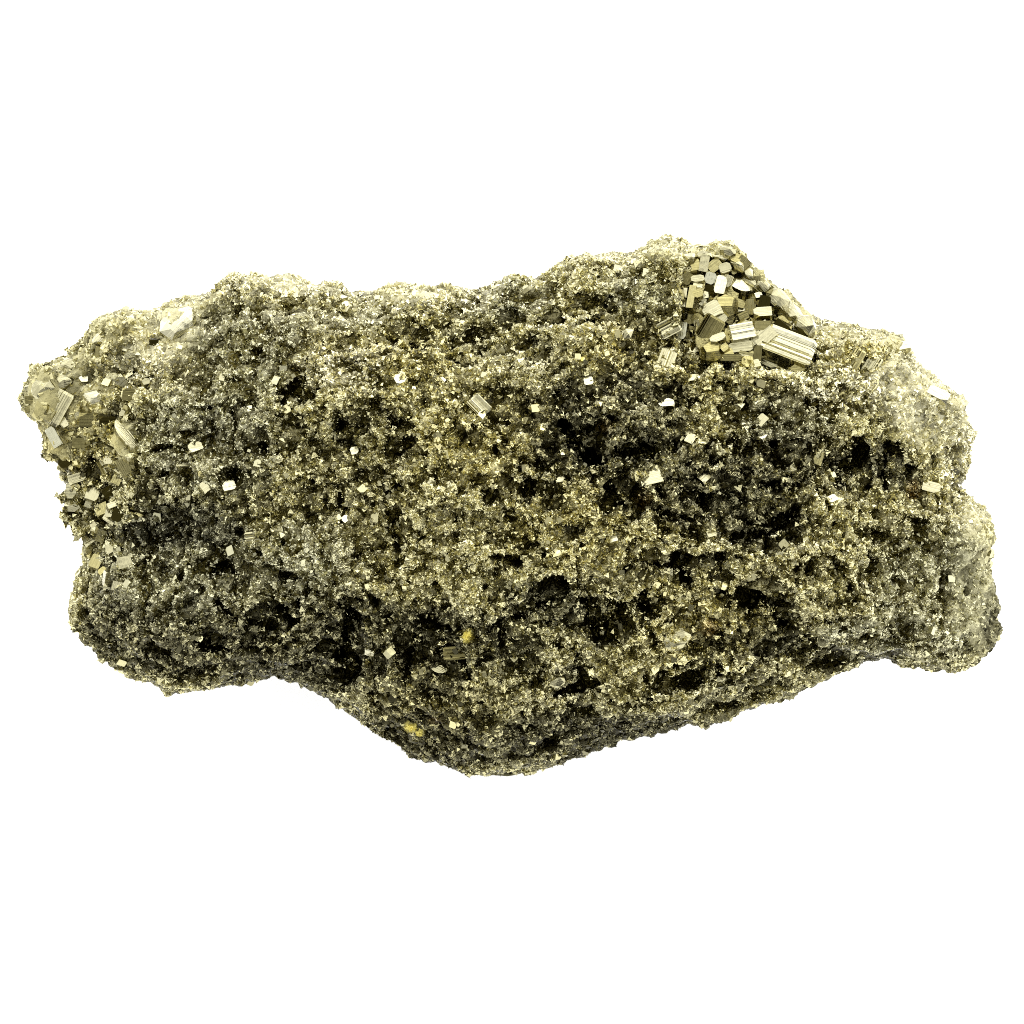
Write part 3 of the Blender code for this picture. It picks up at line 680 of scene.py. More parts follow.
def seen_at(tree, x, y):
    """The surface point and its normal behind a pixel of the picture, or None."""
    u, v = face_place(x, y)
    eye = Vector((*AIM[:2], VIEW_DISTANCE))
    place, normal, _, _ = tree.ray_cast(eye, (Vector((u, v, 0.0)) - eye).normalized())
    return None if place is None else (np.array(place), np.array(normal))


def beside_run(points, start, end):
    """Distances on the face from a straight run, and the share of its length that is passed."""
    run = np.array(end[:2]) - start[:2]
    from_start = points[:, :2] - start[:2]
    share = np.clip((from_start @ run) / (run @ run), 0.0, 1.0)
    return np.linalg.norm(from_start - share[:, None] * run, axis=1), share


def along_rim(points):
    """How much each point lies on the smooth rim under the stone's lower edge."""
    cover = np.zeros(len(points))
    for (x0, y0, width0), (x1, y1, width1) in itertools.pairwise(RIM_LINE):
        away, share = beside_run(points, face_place(x0, y0), face_place(x1, y1))
        half_width = (width0 + (width1 - width0) * share) * PIXEL
        cover = np.maximum(cover, 1.0 - ease(*RIM_FADE, away / half_width))
    return cover


def bareness(points):
    """How smooth the stone is at each point, from grainy to bare."""
    soft = SOFTNESS * patches(points, SOFT_PATCHES)
    return np.maximum.reduce((patches(points, BARE_PATCHES), soft, along_rim(points)))


class Stone:
    """The stone's surface: evenly cut, then sunk between knobs and into pits."""

    def __init__(self):
        self.form = solid_form("pyrite_mass", SKIN_VOXEL, SKIN_SMOOTHING, lumps=True)
        self.bulge()
        self.fill_in()
        self.plain_normals = self.form.point_normals()
        self.plain_tree = search_tree(self.form)
        self.sink()
        self.normals = self.form.point_normals()
        self.tree = search_tree(self.form)
        self.recess = np.clip(self.under_surroundings() / DEEP_RECESS, *RECESS_LIMITS)

    def bulge(self):
        """Draw the outline out or in at the places of the table."""
        points = self.form.points
        for x, y, reach, right, down in BULGES:
            away = np.linalg.norm(points[:, :2] - face_place(x, y), axis=1)
            share = 1.0 - ease(0.0, 1.0, away / (reach * PIXEL))
            points[:, :2] += share[:, None] * (right * PIXEL, -down * PIXEL)

    def evened(self, rounds):
        """The points after rounds of averaging with their neighbours."""
        here = self.form.corners
        there = np.roll(here.reshape(-1, 4), -1, axis=1).ravel()
        count = np.bincount(here)[:, None]
        even = self.form.points
        for _ in range(rounds):
            even = np.column_stack([np.bincount(here, even[there, axis]) for axis in range(3)]) / count
        return even

    def fill_in(self):
        """Draw what lies well under its surroundings part of the way up to them."""
        rise = self.evened(FILL_ROUNDS) - self.form.points
        under = (rise * self.form.point_normals()).sum(axis=1)
        self.form.points += FILL_SHARE * ease(*FILL_FROM, under)[:, None] * rise

    def under_surroundings(self):
        """How far each point lies below the evened-out surface, in millimetres."""
        return ((self.evened(EVENING_ROUNDS) - self.form.points) * self.plain_normals).sum(axis=1)

    def placed_hollows(self, points, ragged):
        """How deep the gullies and pits of the tables go at each point, in millimetres."""
        bent = points.copy()
        bent[:, :2] += np.column_stack([ripples(points, HOLLOW_BEND, axis) for axis in range(2)])
        depth = np.zeros(len(bent))

        def deepen(deep, slope, away, height):
            """Sink the points near a hollow, whose edge is at a distance of one."""
            inside = ease(0.0, slope, PLACED_REACH - away + PLACED_RAGGED * ragged)
            near = np.abs(bent[:, 2] - height) < PLACED_NEAR
            np.maximum(depth, deep * inside * near, out=depth)

        for half_width, deep, *places in GULLIES:
            hits = [seen_at(self.plain_tree, x, y)[0] for x, y in places]
            for start, end in itertools.pairwise(hits):
                away, _ = beside_run(bent, start, end)
                deepen(deep, GULLY_SLOPE, away / (half_width * PIXEL), (start[2] + end[2]) / 2.0)
        for x, y, half_width, half_height, deep in PITS:
            place, _ = seen_at(self.plain_tree, x, y)
            across, up = ((bent[:, :2] - place[:2]) / (half_width * PIXEL, half_height * PIXEL)).T
            deepen(deep, PIT_SLOPE, np.hypot(across, up), place[2])
        return PLACED_DEPTH * (UNEVEN_MIDDLE + ripples(points, HOLLOW_UNEVEN)) * depth

    def knobs(self, warped, flatness):
        """How far the surface sinks between its knobs, in millimetres, and its creases."""
        sunk = np.full(len(warped), -DRAWN_OUT)
        crease = np.zeros(len(warped))
        for width, height, strength, seed in KNOBS:
            nearest, second, number = pebbles(warped, width, seed)
            edge = 1.0 - ease(*CREASE, second - nearest)
            form = KNOB_DOME * nearest ** 2 + KNOB_UNEQUAL * number + KNOB_CREASE * edge
            sunk += height * flatness * form
            crease = np.maximum(crease, edge * strength)
        return sunk, crease

    def sink(self):
        """Sink the surface between its knobs and into hollows, and keep how deep and creased it is."""
        points, normals = self.form.points, self.plain_normals
        front = ease(*SINK_FRONT, normals[:, 2])
        edge = edge_on(normals, SINK_EDGE)
        self.bare = bareness(points) * front
        warped = points + np.column_stack([ripples(points, KNOB_WARP, axis) for axis in range(3)])
        sunk, crease = self.knobs(warped, (1.0 - BARE_FLATTER * self.bare) * (1.0 - EDGE_FLATTER * edge))
        ragged = ripples(warped, RAGGED_WIDE) + ripples(points, RAGGED_FINE)
        fewer = GREY_FEWER * patches(points, GREY_PATCHES) * front + EDGE_FEWER * edge
        scattered = ease(*SCATTERED, ragged + ripples(points, SCATTER) - fewer)
        placed = self.placed_hollows(points, ragged) * front
        depth = np.maximum(SCATTERED_DEPTH * scattered * (1.0 - self.bare), placed)
        lifted = ease(*ABOVE_FLOOR, to_part(points)[:, 2] / MM)
        sunk = (sunk + depth) * lifted
        self.depth = np.clip(sunk / DEEPEST, 0.0, 1.0)
        self.crease = crease * lifted
        self.form.points = points - normals * sunk[:, None]


stone = Stone()


# Finishes


class Value:
    """A number that changes over a surface. Sums and products of it add Math nodes."""

    def __init__(self, finish, socket):
        self.finish = finish
        self.socket = socket

    def maths(self, operation, *terms):
        return self.finish.node("ShaderNodeMath", {"operation": operation}, dict(enumerate(terms)))

    def __add__(self, other):
        return self.maths("ADD", self, other)

    def __sub__(self, other):
        return self.maths("SUBTRACT", self, other)

    def __rsub__(self, other):
        return self.maths("SUBTRACT", other, self)

    def __mul__(self, other):
        return self.maths("MULTIPLY", self, other)

    __radd__ = __add__
    __rmul__ = __mul__

    def within(self, low, high):
        """The same number, kept from going past two limits."""
        return self.maths("MINIMUM", self.maths("MAXIMUM", self, low), high)


class Finish:
    """One material, with the nodes behind what varies on it."""

    def __init__(self, name, **constants):
        self.material = bpy.data.materials.new(name)
        self.material.use_nodes = True
        self.tree = self.material.node_tree
        self.shader = self.tree.nodes["Principled BSDF"]
        for label, constant in constants.items():
            self.shader.inputs[label.replace("_", " ").title()].default_value = constant

    def node(self, kind, settings=(), sockets=(), output=0):
        """Add a node: its type, its settings, then the values or links of its sockets."""
        made = self.tree.nodes.new(kind)
        for label, setting in dict(settings).items():
            setattr(made, label, setting)
        for label, given in dict(sockets).items():
            if isinstance(given, Value):
                self.tree.links.new(given.socket, made.inputs[label])
            else:
                made.inputs[label].default_value = given
        return Value(self, made.outputs[output])

    def worn(self, label):
        """A number that the mesh carries at each point."""
        return self.node("ShaderNodeAttribute", {"attribute_name": label}, output="Fac")

    def place(self):
        return self.node("ShaderNodeTexCoord", output="Object")

    def noise(self, width, detail=2.0):
        """Soft spots of one width in millimetres, from 0 to 1."""
        sockets = {"Vector": self.place(), "Scale": 1.0 / (width * MM), "Detail": detail}
        return self.node("ShaderNodeTexNoise", {}, sockets)

    def blend(self, share, first, second):
        """One colour changing into another."""
        return self.node("ShaderNodeMix", {"data_type": "RGBA"}, {0: share, 6: first, 7: second}, output=2)

    def shade(self, colour, share):
        """A colour made darker or lighter."""
        return self.node("ShaderNodeVectorMath", {"operation": "SCALE"}, {0: colour, "Scale": share})

    def show(self, label, value):
        self.tree.links.new(value.socket, self.shader.inputs[label])


def tint(red, green, blue):
    return (red, green, blue, 1.0)


BRASS = tint(0.64, 0.597, 0.33)
OLD_GOLD = tint(0.64, 0.57, 0.24)
STEEL = tint(0.5, 0.495, 0.35)
CREAM = tint(0.86, 0.82, 0.56)
TARNISH_AND_SHADE = tint(0.07, 0.058, 0.014)
SULPHUR = tint(0.7, 0.6, 0.12)
RUST = tint(0.32, 0.17, 0.03)

# What a sulphur-yellow spot takes off the metal, and what it and a bare place add to the roughness
YELLOW_DULLS = 0.9
YELLOW_ROUGHENS = 0.3
BARE_ROUGHENS = 0.45
# Tarnish comes in spots of this width in mm. A bare place glitters less
TARNISH_WIDTH = 0.35
TARNISH_SPOTS = 0.5
BARE_CALMS = 0.85
# How light a tone of 0 is, how much lighter a tone of 1, and the limits of both
TONE_START = 0.36
TONE_RISE = 0.78
TONE_LIMITS = (0.15, 0.87)
STRIPE_DETAIL = 3.0


def pyrite_finish(name, roughness, tarnish_and_shade, glitter_width, glitter_height, stripe_height=0.0):
    """Crystalline pyrite: brass to grey by place, darker in the hollows and creases with tarnished colour
    and painted shade, each grain its own tone.
    """
    finish = Finish(name)
    yellow, rusty, bare = (finish.worn(label) for label in ("yellow", "rusty", "bare"))
    finish.show("Metallic", 1.0 - (yellow * YELLOW_DULLS).within(0.0, 1.0))
    finish.show("Roughness", bare * BARE_ROUGHENS + yellow * YELLOW_ROUGHENS + roughness)
    colour = finish.blend(finish.worn("grey"), BRASS, STEEL)
    colour = finish.blend(finish.worn("gold"), colour, OLD_GOLD)
    colour = finish.blend(finish.worn("pale"), colour, CREAM)
    # Tarnished colour and painted shade: darker where the surface is sunk and creased, with spots of
    # tarnished colour
    dark = finish.worn("sunk") * tarnish_and_shade + (finish.noise(TARNISH_WIDTH) - 0.5) * TARNISH_SPOTS
    colour = finish.blend(dark.within(0.0, 1.0), colour, TARNISH_AND_SHADE)
    colour = finish.blend(rusty.within(0.0, 1.0), colour, RUST)
    # The tone: each grain's own tone, with painted light and painted shade
    colour = finish.shade(colour, (finish.worn("tone") * TONE_RISE + TONE_START).within(*TONE_LIMITS))
    finish.show("Base Color", finish.blend(yellow.within(0.0, 1.0), colour, SULPHUR))
    cells = {"Vector": finish.place(), "Scale": 1.0 / (glitter_width * MM)}
    height = finish.node("ShaderNodeTexVoronoi", {}, cells) * (1.0 - bare * BARE_CALMS) * glitter_height
    if stripe_height:
        across = {"W": finish.worn("stripe"), "Scale": 1.0, "Detail": STRIPE_DETAIL}
        stripes = finish.node("ShaderNodeTexNoise", {"noise_dimensions": "1D"}, across)
        height = height + stripes * stripe_height
    finish.show("Normal", finish.node("ShaderNodeBump", {}, {"Distance": MM, "Height": height}))
    return finish


# Each finish: roughness, how dark the hollows and creases make it with tarnished colour and painted shade,
# width and height of its glitter in mm, and height of its stripes
sugar_finish = pyrite_finish("sugar-grained pyrite", 0.2, 0.95, 0.16, 0.035)
skin_finish = pyrite_finish("pyrite between the grains", 0.4, 1.25, 0.2, 0.072)
speck_finish = pyrite_finish("small pyrite crystals", 0.2, 0.5, 0.5, 0.01)
crystal_finish = pyrite_finish("striated pyrite crystals", 0.22, 0.7, 0.4, 0.014, 0.028)

# How strongly the patches show, and how far the colours wander: (share, width in mm, seed)
LIGHTER_AND_LIT = 0.4
DARKER_AND_SHADED = 0.58
GREYER = 0.65
MORE_GOLDEN = 0.4
PALER = 0.8
RUSTIER = 0.4
WANDER = [(0.25, 6.0, 70), (0.25, 2.4, 71)]
PALE_WANDER = 0.5
PALE_LESS = 0.05
MOST_GOLDEN = 0.8

# The back has wandering areas of its own: (width in mm, seed), and where they begin and are full
LOOKS_FRONT = (-0.2, 0.3)
BACK_GREY = (14.0, 72)
BACK_GREY_FROM = (-0.2, 0.9)
BACK_GOLD = (11.0, 73)
BACK_GOLD_FROM = (0.0, 0.9)

# Painted light: what looks up is paler and lighter. Painted shade: deep places, edges and the rim
# are darker. The rim is also greyer
UP = np.array((0.0, 1.0, 0.15))
UP_PAINTED_PALE = 0.6
UP_PAINTED_PALE_FROM = (0.6, 0.95)
UP_PAINTED_LIGHT = 0.22
UP_PAINTED_LIGHT_FROM = 0.15
RECESS_SHADE = 0.45
EDGE_SHADE = 0.55
EDGE_LIMIT = 0.35
RIM_SHADE = 0.2
RIM_GREYER = 0.25


def looks(points, normals):
    """How the stone looks at some points, front and back: shares of its colours, and its tone, with painted
    light and painted shade in the tone and the pale share.
    """
    front = ease(*LOOKS_FRONT, normals[:, 2])
    grey_behind = (1.0 - front) * ease(*BACK_GREY_FROM, ripple(points, *BACK_GREY))
    gold_behind = (1.0 - front) * ease(*BACK_GOLD_FROM, ripple(points, *BACK_GOLD))
    grey = patches(points, GREY_PATCHES) * front + grey_behind
    gold = patches(points, GOLD_PATCHES) * front + gold_behind
    wander = ripples(points, WANDER)
    upward = unit(normals) @ UP
    rim = along_rim(points)
    # Painted light: surfaces that look up are painted paler, besides the pale and lit patches
    pale = np.maximum(patches(points, PALE_AND_LIT_PATCHES) * front, UP_PAINTED_PALE * ease(*UP_PAINTED_PALE_FROM, upward))
    # Painted light and painted shade from the patches, together with the stone's own lighter and darker
    # zones
    tone = (LIGHTER_AND_LIT * patches(points, LIGHT_AND_LIT_PATCHES) - DARKER_AND_SHADED * patches(points, DARK_AND_SHADED_PATCHES)) * front
    # Painted shade on the rim and on edges seen edge-on
    shade = RIM_SHADE * rim + EDGE_SHADE * edge_on(normals, EDGE_LIMIT)
    return {
        "grey": np.clip(GREYER * grey + wander + RIM_GREYER * rim, 0.0, 1.0),
        "gold": np.clip(MORE_GOLDEN * gold + wander, 0.0, MOST_GOLDEN),
        "pale": np.clip(PALER * pale + PALE_WANDER * wander - PALE_LESS - rim, 0.0, 1.0),
        "tone": tone + UP_PAINTED_LIGHT * (upward - UP_PAINTED_LIGHT_FROM) - shade,
        "bare": bareness(points) * front,
        "yellow": patches(points, YELLOW_PATCHES) * front,
        "rusty": RUSTIER * patches(points, RUSTY_PATCHES) * front,
    }


# The skin between the grains: darker than them, tarnished colour and painted shade in the gaps

SKIN_SUNK = 0.12
SKIN_CREASED = 0.5
SKIN_BARE_LESS = 0.3
SKIN_TONE = 0.4
SKIN_BARE_DARKER = 0.1

skin_values = looks(stone.form.points, stone.plain_normals)
# Tarnished colour and painted shade: the skin darkens in hollows and creases, and a little everywhere
# between the grains
skin_sunk = stone.depth + SKIN_CREASED * stone.crease + SKIN_SUNK - SKIN_BARE_LESS * stone.bare
skin_values["sunk"] = np.clip(skin_sunk, 0.0, 1.0)
# Painted shade: the skin is darker where it lies in a recess
skin_values["tone"] += SKIN_TONE - SKIN_BARE_DARKER * stone.bare - RECESS_SHADE * stone.recess
skin_layout = box_layout(stone.form)
skin = mesh_piece("pyrite_skin", stone.form, skin_finish, skin_values, skin_layout)
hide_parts("pyrite_mass")


# The sugar-like grains, and small crystals between them

# Where grains stand: how far the surface turns to the picture where it counts as its front, how far
# above the floor in mm, how few on bare stone, and how many of the coarser ones behind
GRAIN_FRONT = (-0.15, 0.15)
GRAINS_ABOVE = (0.25, 0.7)
BARE_FEWER = 0.85
COARSE_BEHIND = 0.6

quads = stone.form.corners.reshape(-1, 4)
quad_middle = stone.form.points[quads].mean(axis=1)
quad_normal = unit(stone.plain_normals[quads].mean(axis=1))
quad_front = ease(*GRAIN_FRONT, quad_normal[:, 2])
quad_behind = 1.0 - quad_front
quad_bare = stone.bare[quads].mean(axis=1)
quad_open = ease(*GRAINS_ABOVE, to_part(quad_middle)[:, 2] / MM) * (1.0 - BARE_FEWER * quad_bare)
quad_coarse = patches(quad_middle, GOLD_PATCHES) * quad_front + COARSE_BEHIND * quad_behind


def spots_on_stone(wanted):
    """One random spot on each quad that is kept: its place, its normal and how it lies."""
    chosen = quads[chance.random(len(quads)) < wanted * quad_open]
    along, across = chance.random((2, len(chosen), 1))
    left, right = (1 - along) * (1 - across), along * (1 - across)
    weights = np.concatenate((left, right, along * across, (1 - along) * across), 1)

    def at_spots(values):
        return np.einsum("gc,gc...->g...", weights, values[chosen])

    lie = at_spots(stone.depth), at_spots(stone.crease), at_spots(stone.recess)
    return at_spots(stone.form.points), unit(at_spots(stone.normals)), lie


def turned_frames(outward, lean):
    """Axes for many grains: z near outward but tipped at random, x turned at random."""
    z = unit(outward + unit(chance.normal(size=outward.shape)) * lean[:, None])
    x = unit(np.cross(z, chance.normal(size=outward.shape)))
    return np.stack((x, np.cross(z, x), z), axis=2)


def strewn(name, form, finish, places, frames, scales, values):
    """One piece of many copies of a form. Values has numbers for each copy."""
    copies = form.copies(places, frames, scales)
    layout = same_layout(form, len(places))
    carried = {label: np.repeat(numbers, len(form.points)) for label, numbers in values.items()}
    mesh_piece(name, copies, finish, carried, layout)


# Sugar-like grains: how many are small, how much smaller they are on grey stone and on edges, how
# tall and how tipped they are, how deep they sit, and how dark the creases make them with tarnished colour
# and painted shade
SUGAR_SMALL = 2.2
SUGAR_GREY_SMALLER = 0.3
SUGAR_EDGE_SMALLER = 0.5
SUGAR_EDGE = 0.5
SUGAR_HEIGHTS = (0.9, 1.7)
SUGAR_LEAST_TIPPED = 0.15
SUGAR_SEAT = 0.25
SUGAR_EDGE_SEAT = 0.3
SUGAR_DEPTH = 1.5
SUGAR_CREASE = 0.3
SUGAR_SUNK_FROM = 0.4
# Their tones: the middle, the spread, and how much less they spread on bare and on grey stone
SUGAR_TONE = 0.55
SUGAR_SPREAD = 0.95
SUGAR_BARE_SPREAD = 0.5
SUGAR_GREY_SPREAD = 0.3
# Share of the grains that keep their shine in the hollows as painted highlights, how much tarnished colour
# they keep, and their share of the recess's painted shade, below 0 for painted light
FRESH_SHARE = 0.25
FRESH_TARNISH = 0.1
FRESH_SHADE = -0.5


def sugar(name, wanted, least, most):
    """A coat of small cube corners on the stone."""
    place, normal, (depth, crease, recess) = spots_on_stone(wanted)
    count = len(place)
    values = looks(place, normal)
    edge = edge_on(normal, SUGAR_EDGE)
    sizes = least + (most - least) * chance.random(count) ** SUGAR_SMALL
    sizes *= (1.0 - SUGAR_GREY_SMALLER * values["grey"]) * (1.0 - SUGAR_EDGE_SMALLER * edge)
    tipped = SUGAR_LEAST_TIPPED + (1.0 - SUGAR_LEAST_TIPPED) * chance.random(count)
    frames = turned_frames(normal, tipped)
    heights = chance.uniform(*SUGAR_HEIGHTS, count)
    scales = sizes[:, None] * np.column_stack((np.ones((count, 2)), heights))
    seats = place - normal * (sizes * (SUGAR_SEAT + SUGAR_EDGE_SEAT * edge))[:, None]
    fresh = chance.random(count) < FRESH_SHARE
    sunk = np.clip(SUGAR_DEPTH * depth + SUGAR_CREASE * crease - SUGAR_SUNK_FROM, 0.0, 1.0)
    values["sunk"] = sunk * np.where(fresh, FRESH_TARNISH, 1.0)
    spread = SUGAR_SPREAD - SUGAR_BARE_SPREAD * values["bare"] - SUGAR_GREY_SPREAD * values["grey"]
    # Painted shade in recesses, turned to painted light for the grains that keep their shine
    shade = RECESS_SHADE * np.where(fresh, FRESH_SHADE, 1.0) * recess
    values["tone"] += SUGAR_TONE + (chance.random(count) - 0.5) * spread - shade
    strewn(name, corner_form(), sugar_finish, seats, frames, scales, values)


# Each coat: its name, the share of quads that carry a grain in front and behind, and the least and
# greatest size of a grain in mm
SUGAR_COATS = [
    ("sugar_grains_1", 0.9, 0.16, 0.2, 0.44),
    ("sugar_grains_2", 0.9, 0.16, 0.2, 0.44),
    ("sugar_grains_3", 0.45, 0.4, 0.32, 0.58),
]
for name, in_front, behind, least, most in SUGAR_COATS:
    sugar(name, in_front * quad_front + behind * quad_behind, least, most)

# Small crystals: how many are the smallest, how they are stretched, how deep they sit, how dark the
# hollows and creases make them with tarnished colour and painted shade, and their tones from the darkest on
SPECK_SMALL = 2.4
SPECK_TIPPED = 0.5
SPECK_STRETCH = (0.7, 1.1)
SPECK_SEAT = 0.2
SPECK_DEPTH = 0.6
SPECK_CREASE = 0.2
SPECK_SUNK_FROM = 0.1
SPECK_DARKEST = 0.1
SPECK_SPREAD = 0.9

BLOCK = block_form()
PYRITOHEDRON = pyritohedron_form()


def small_crystals(name, form, wanted, least, most):
    """Small crystals turned every way, half sunk in the stone."""
    place, normal, (depth, crease, recess) = spots_on_stone(wanted)
    count = len(place)
    frames = turned_frames(unit(chance.normal(size=(count, 3))), np.full(count, SPECK_TIPPED))
    sizes = least + (most - least) * chance.random(count) ** SPECK_SMALL
    scales = sizes[:, None] * chance.uniform(*SPECK_STRETCH, (count, 3))
    seats = place - normal * (sizes * SPECK_SEAT)[:, None]
    values = looks(place, normal)
    values["sunk"] = np.clip(SPECK_DEPTH * depth - SPECK_SUNK_FROM + SPECK_CREASE * crease, 0.0, 1.0)
    # Painted shade: small crystals are darker in recesses
    values["tone"] += SPECK_DARKEST + SPECK_SPREAD * chance.random(count) - RECESS_SHADE * recess
    strewn(name, form, speck_finish, seats, frames, scales, values)


# Each kind: its name, its form, the share of quads that carry one, what coarse stone adds to that
# share, and its least and greatest size in mm
SMALL_CRYSTALS = [
    ("small_cubes", BLOCK, 0.03, 0.05, 0.18, 0.42),
    ("small_chipped_cubes_1", chipped_form(3), 0.004, 0.014, 0.25, 0.75),
    ("small_chipped_cubes_2", chipped_form(11), 0.004, 0.014, 0.25, 0.75),
    ("small_pyritohedra", PYRITOHEDRON, 0.003, 0.012, 0.3, 0.8),
]
for name, form, anywhere, on_coarse, least, most in SMALL_CRYSTALS:
    small_crystals(name, form, anywhere + on_coarse * quad_coarse, least, most)


# Crystals that stand out one by one

# Looks: shares of grey, golden and pale, how tarnished and shaded, and the tone. White is a painted
# highlight, dark is painted shade set where the stone lies in shade
LOOK_LABELS = ("grey", "gold", "pale", "sunk", "tone")
LOOKS = {
    "white": (0.0, 0.0, 0.9, 0.0, 0.4),
    "cream": (0.0, 0.4, 0.5, 0.0, 0.28),
    "khaki": (0.4, 0.4, 0.3, 0.05, 0.25),
    "gold": (0.0, 1.0, 0.0, 0.15, 0.3),
    "amber": (0.0, 1.0, 0.0, 0.5, 0.45),
    "olive": (0.2, 0.8, 0.0, 0.35, 0.35),
    "brown": (0.0, 1.0, 0.0, 0.8, 0.3),
    "grey": (1.0, 0.0, 0.2, 0.0, 0.3),
    "dark": (1.0, 0.0, 0.0, 1.8, 0.2),
}

# (x, y) and (length, width, thickness) in pixels, turn of the length in degrees,
# lean of the face to the right and up, form and look
POCKET_CRYSTALS = [
    (787, 350, 52, 30, 28, -23, 0.1, 0.45, "striped", "white"),
    (765, 336, 22, 20, 24, 40, -0.25, 0.2, "block", "cream"),
    (762, 316, 18, 10, 22, 5, 0.0, 0.5, "chipped", "cream"),
    (762, 324, 16, 9, 20, 0, 0.0, -0.1, "block", "gold"),
    (741, 334, 28, 17, 20, 14, 0.1, 0.4, "softly striped", "white"),
    (738, 289, 28, 15, 24, -35, 0.0, 0.5, "crescent", "white"),
    (755, 280, 36, 24, 26, -35, 0.2, 0.35, "dome", "cream"),
    (721, 289, 20, 11, 22, 80, -0.1, 0.5, "chipped", "white"),
    (725, 306, 25, 24, 22, 0, 0.0, 0.05, "pyritohedron", "amber"),
    (712, 312, 18, 16, 18, 30, -0.1, 0.35, "chipped", "cream"),
    (709, 329, 28, 22, 16, 60, 0.0, -0.05, "striped", "brown"),
    (711, 352, 24, 21, 20, 10, 0.1, 0.1, "pyritohedron", "amber"),
    (717, 341, 16, 8, 18, 25, 0.0, 0.5, "chipped", "cream"),
    (739, 348, 24, 12, 18, 8, 0.05, 0.3, "chipped", "khaki"),
    (685, 300, 20, 4, 16, 87, -0.2, 0.4, "block", "cream"),
    (692, 299, 24, 7, 16, 84, -0.2, 0.4, "block", "olive"),
    (697, 295, 9, 8, 14, 20, 0.0, 0.3, "chipped", "gold"),
    (707, 288, 12, 9, 14, 10, 0.0, -0.1, "chipped", "dark"),
    (709, 279, 12, 11, 14, 70, 0.1, 0.2, "chipped", "grey"),
    (697, 280, 13, 7, 12, 10, 0.0, 0.4, "chipped", "khaki"),
    (686, 278, 12, 10, 12, 60, 0.0, 0.0, "chipped", "brown"),
    (692, 266, 14, 13, 14, 10, 0.0, 0.3, "chipped", "gold"),
    (703, 264, 16, 9, 12, 80, 0.1, 0.15, "block", "khaki"),
    (714, 266, 14, 11, 12, 40, 0.0, 0.2, "chipped", "olive"),
    (723, 270, 12, 10, 12, 20, 0.1, 0.3, "chipped", "khaki"),
    (727, 281, 12, 9, 12, 70, 0.0, 0.1, "chipped", "khaki"),
    (734, 268, 13, 11, 12, 30, 0.1, 0.1, "chipped", "olive"),
    (750, 305, 18, 10, 16, 85, 0.0, 0.0, "chipped", "olive"),
    (738, 303, 13, 8, 14, -20, 0.0, 0.1, "chipped", "gold"),
    (764, 302, 14, 11, 16, 80, 0.0, -0.05, "chipped", "dark"),
    (758, 297, 7, 6, 12, 20, 0.0, 0.5, "chipped", "white"),
    (682, 332, 17, 10, 14, 85, -0.2, 0.3, "chipped", "grey"),
    (739, 312, 10, 5, 14, 10, 0.0, 0.5, "chipped", "white"),
    (743, 316, 10, 8, 12, 25, 0.0, 0.1, "chipped", "brown"),
    (730, 320, 9, 8, 12, 10, 0.0, 0.1, "chipped", "olive"),
    (721, 319, 10, 9, 12, 50, 0.1, 0.2, "chipped", "khaki"),
    (781, 325, 15, 8, 12, -40, 0.0, -0.1, "chipped", "dark"),
    (797, 334, 15, 7, 12, -30, 0.1, -0.1, "chipped", "dark"),
    (757, 353, 16, 8, 16, 85, 0.0, 0.0, "chipped", "brown"),
    (767, 360, 22, 12, 16, -25, 0.0, 0.1, "chipped", "khaki"),
    (782, 366, 24, 10, 16, -15, 0.0, 0.0, "chipped", "olive"),
    (797, 368, 16, 8, 14, 10, 0.1, 0.1, "chipped", "amber"),
    (690, 318, 12, 10, 12, 60, 0.0, 0.0, "chipped", "brown"),
    (730, 357, 20, 7, 14, 0, 0.0, 0.0, "chipped", "brown"),
    (724, 349, 8, 7, 12, 40, 0.0, 0.4, "chipped", "gold"),
]
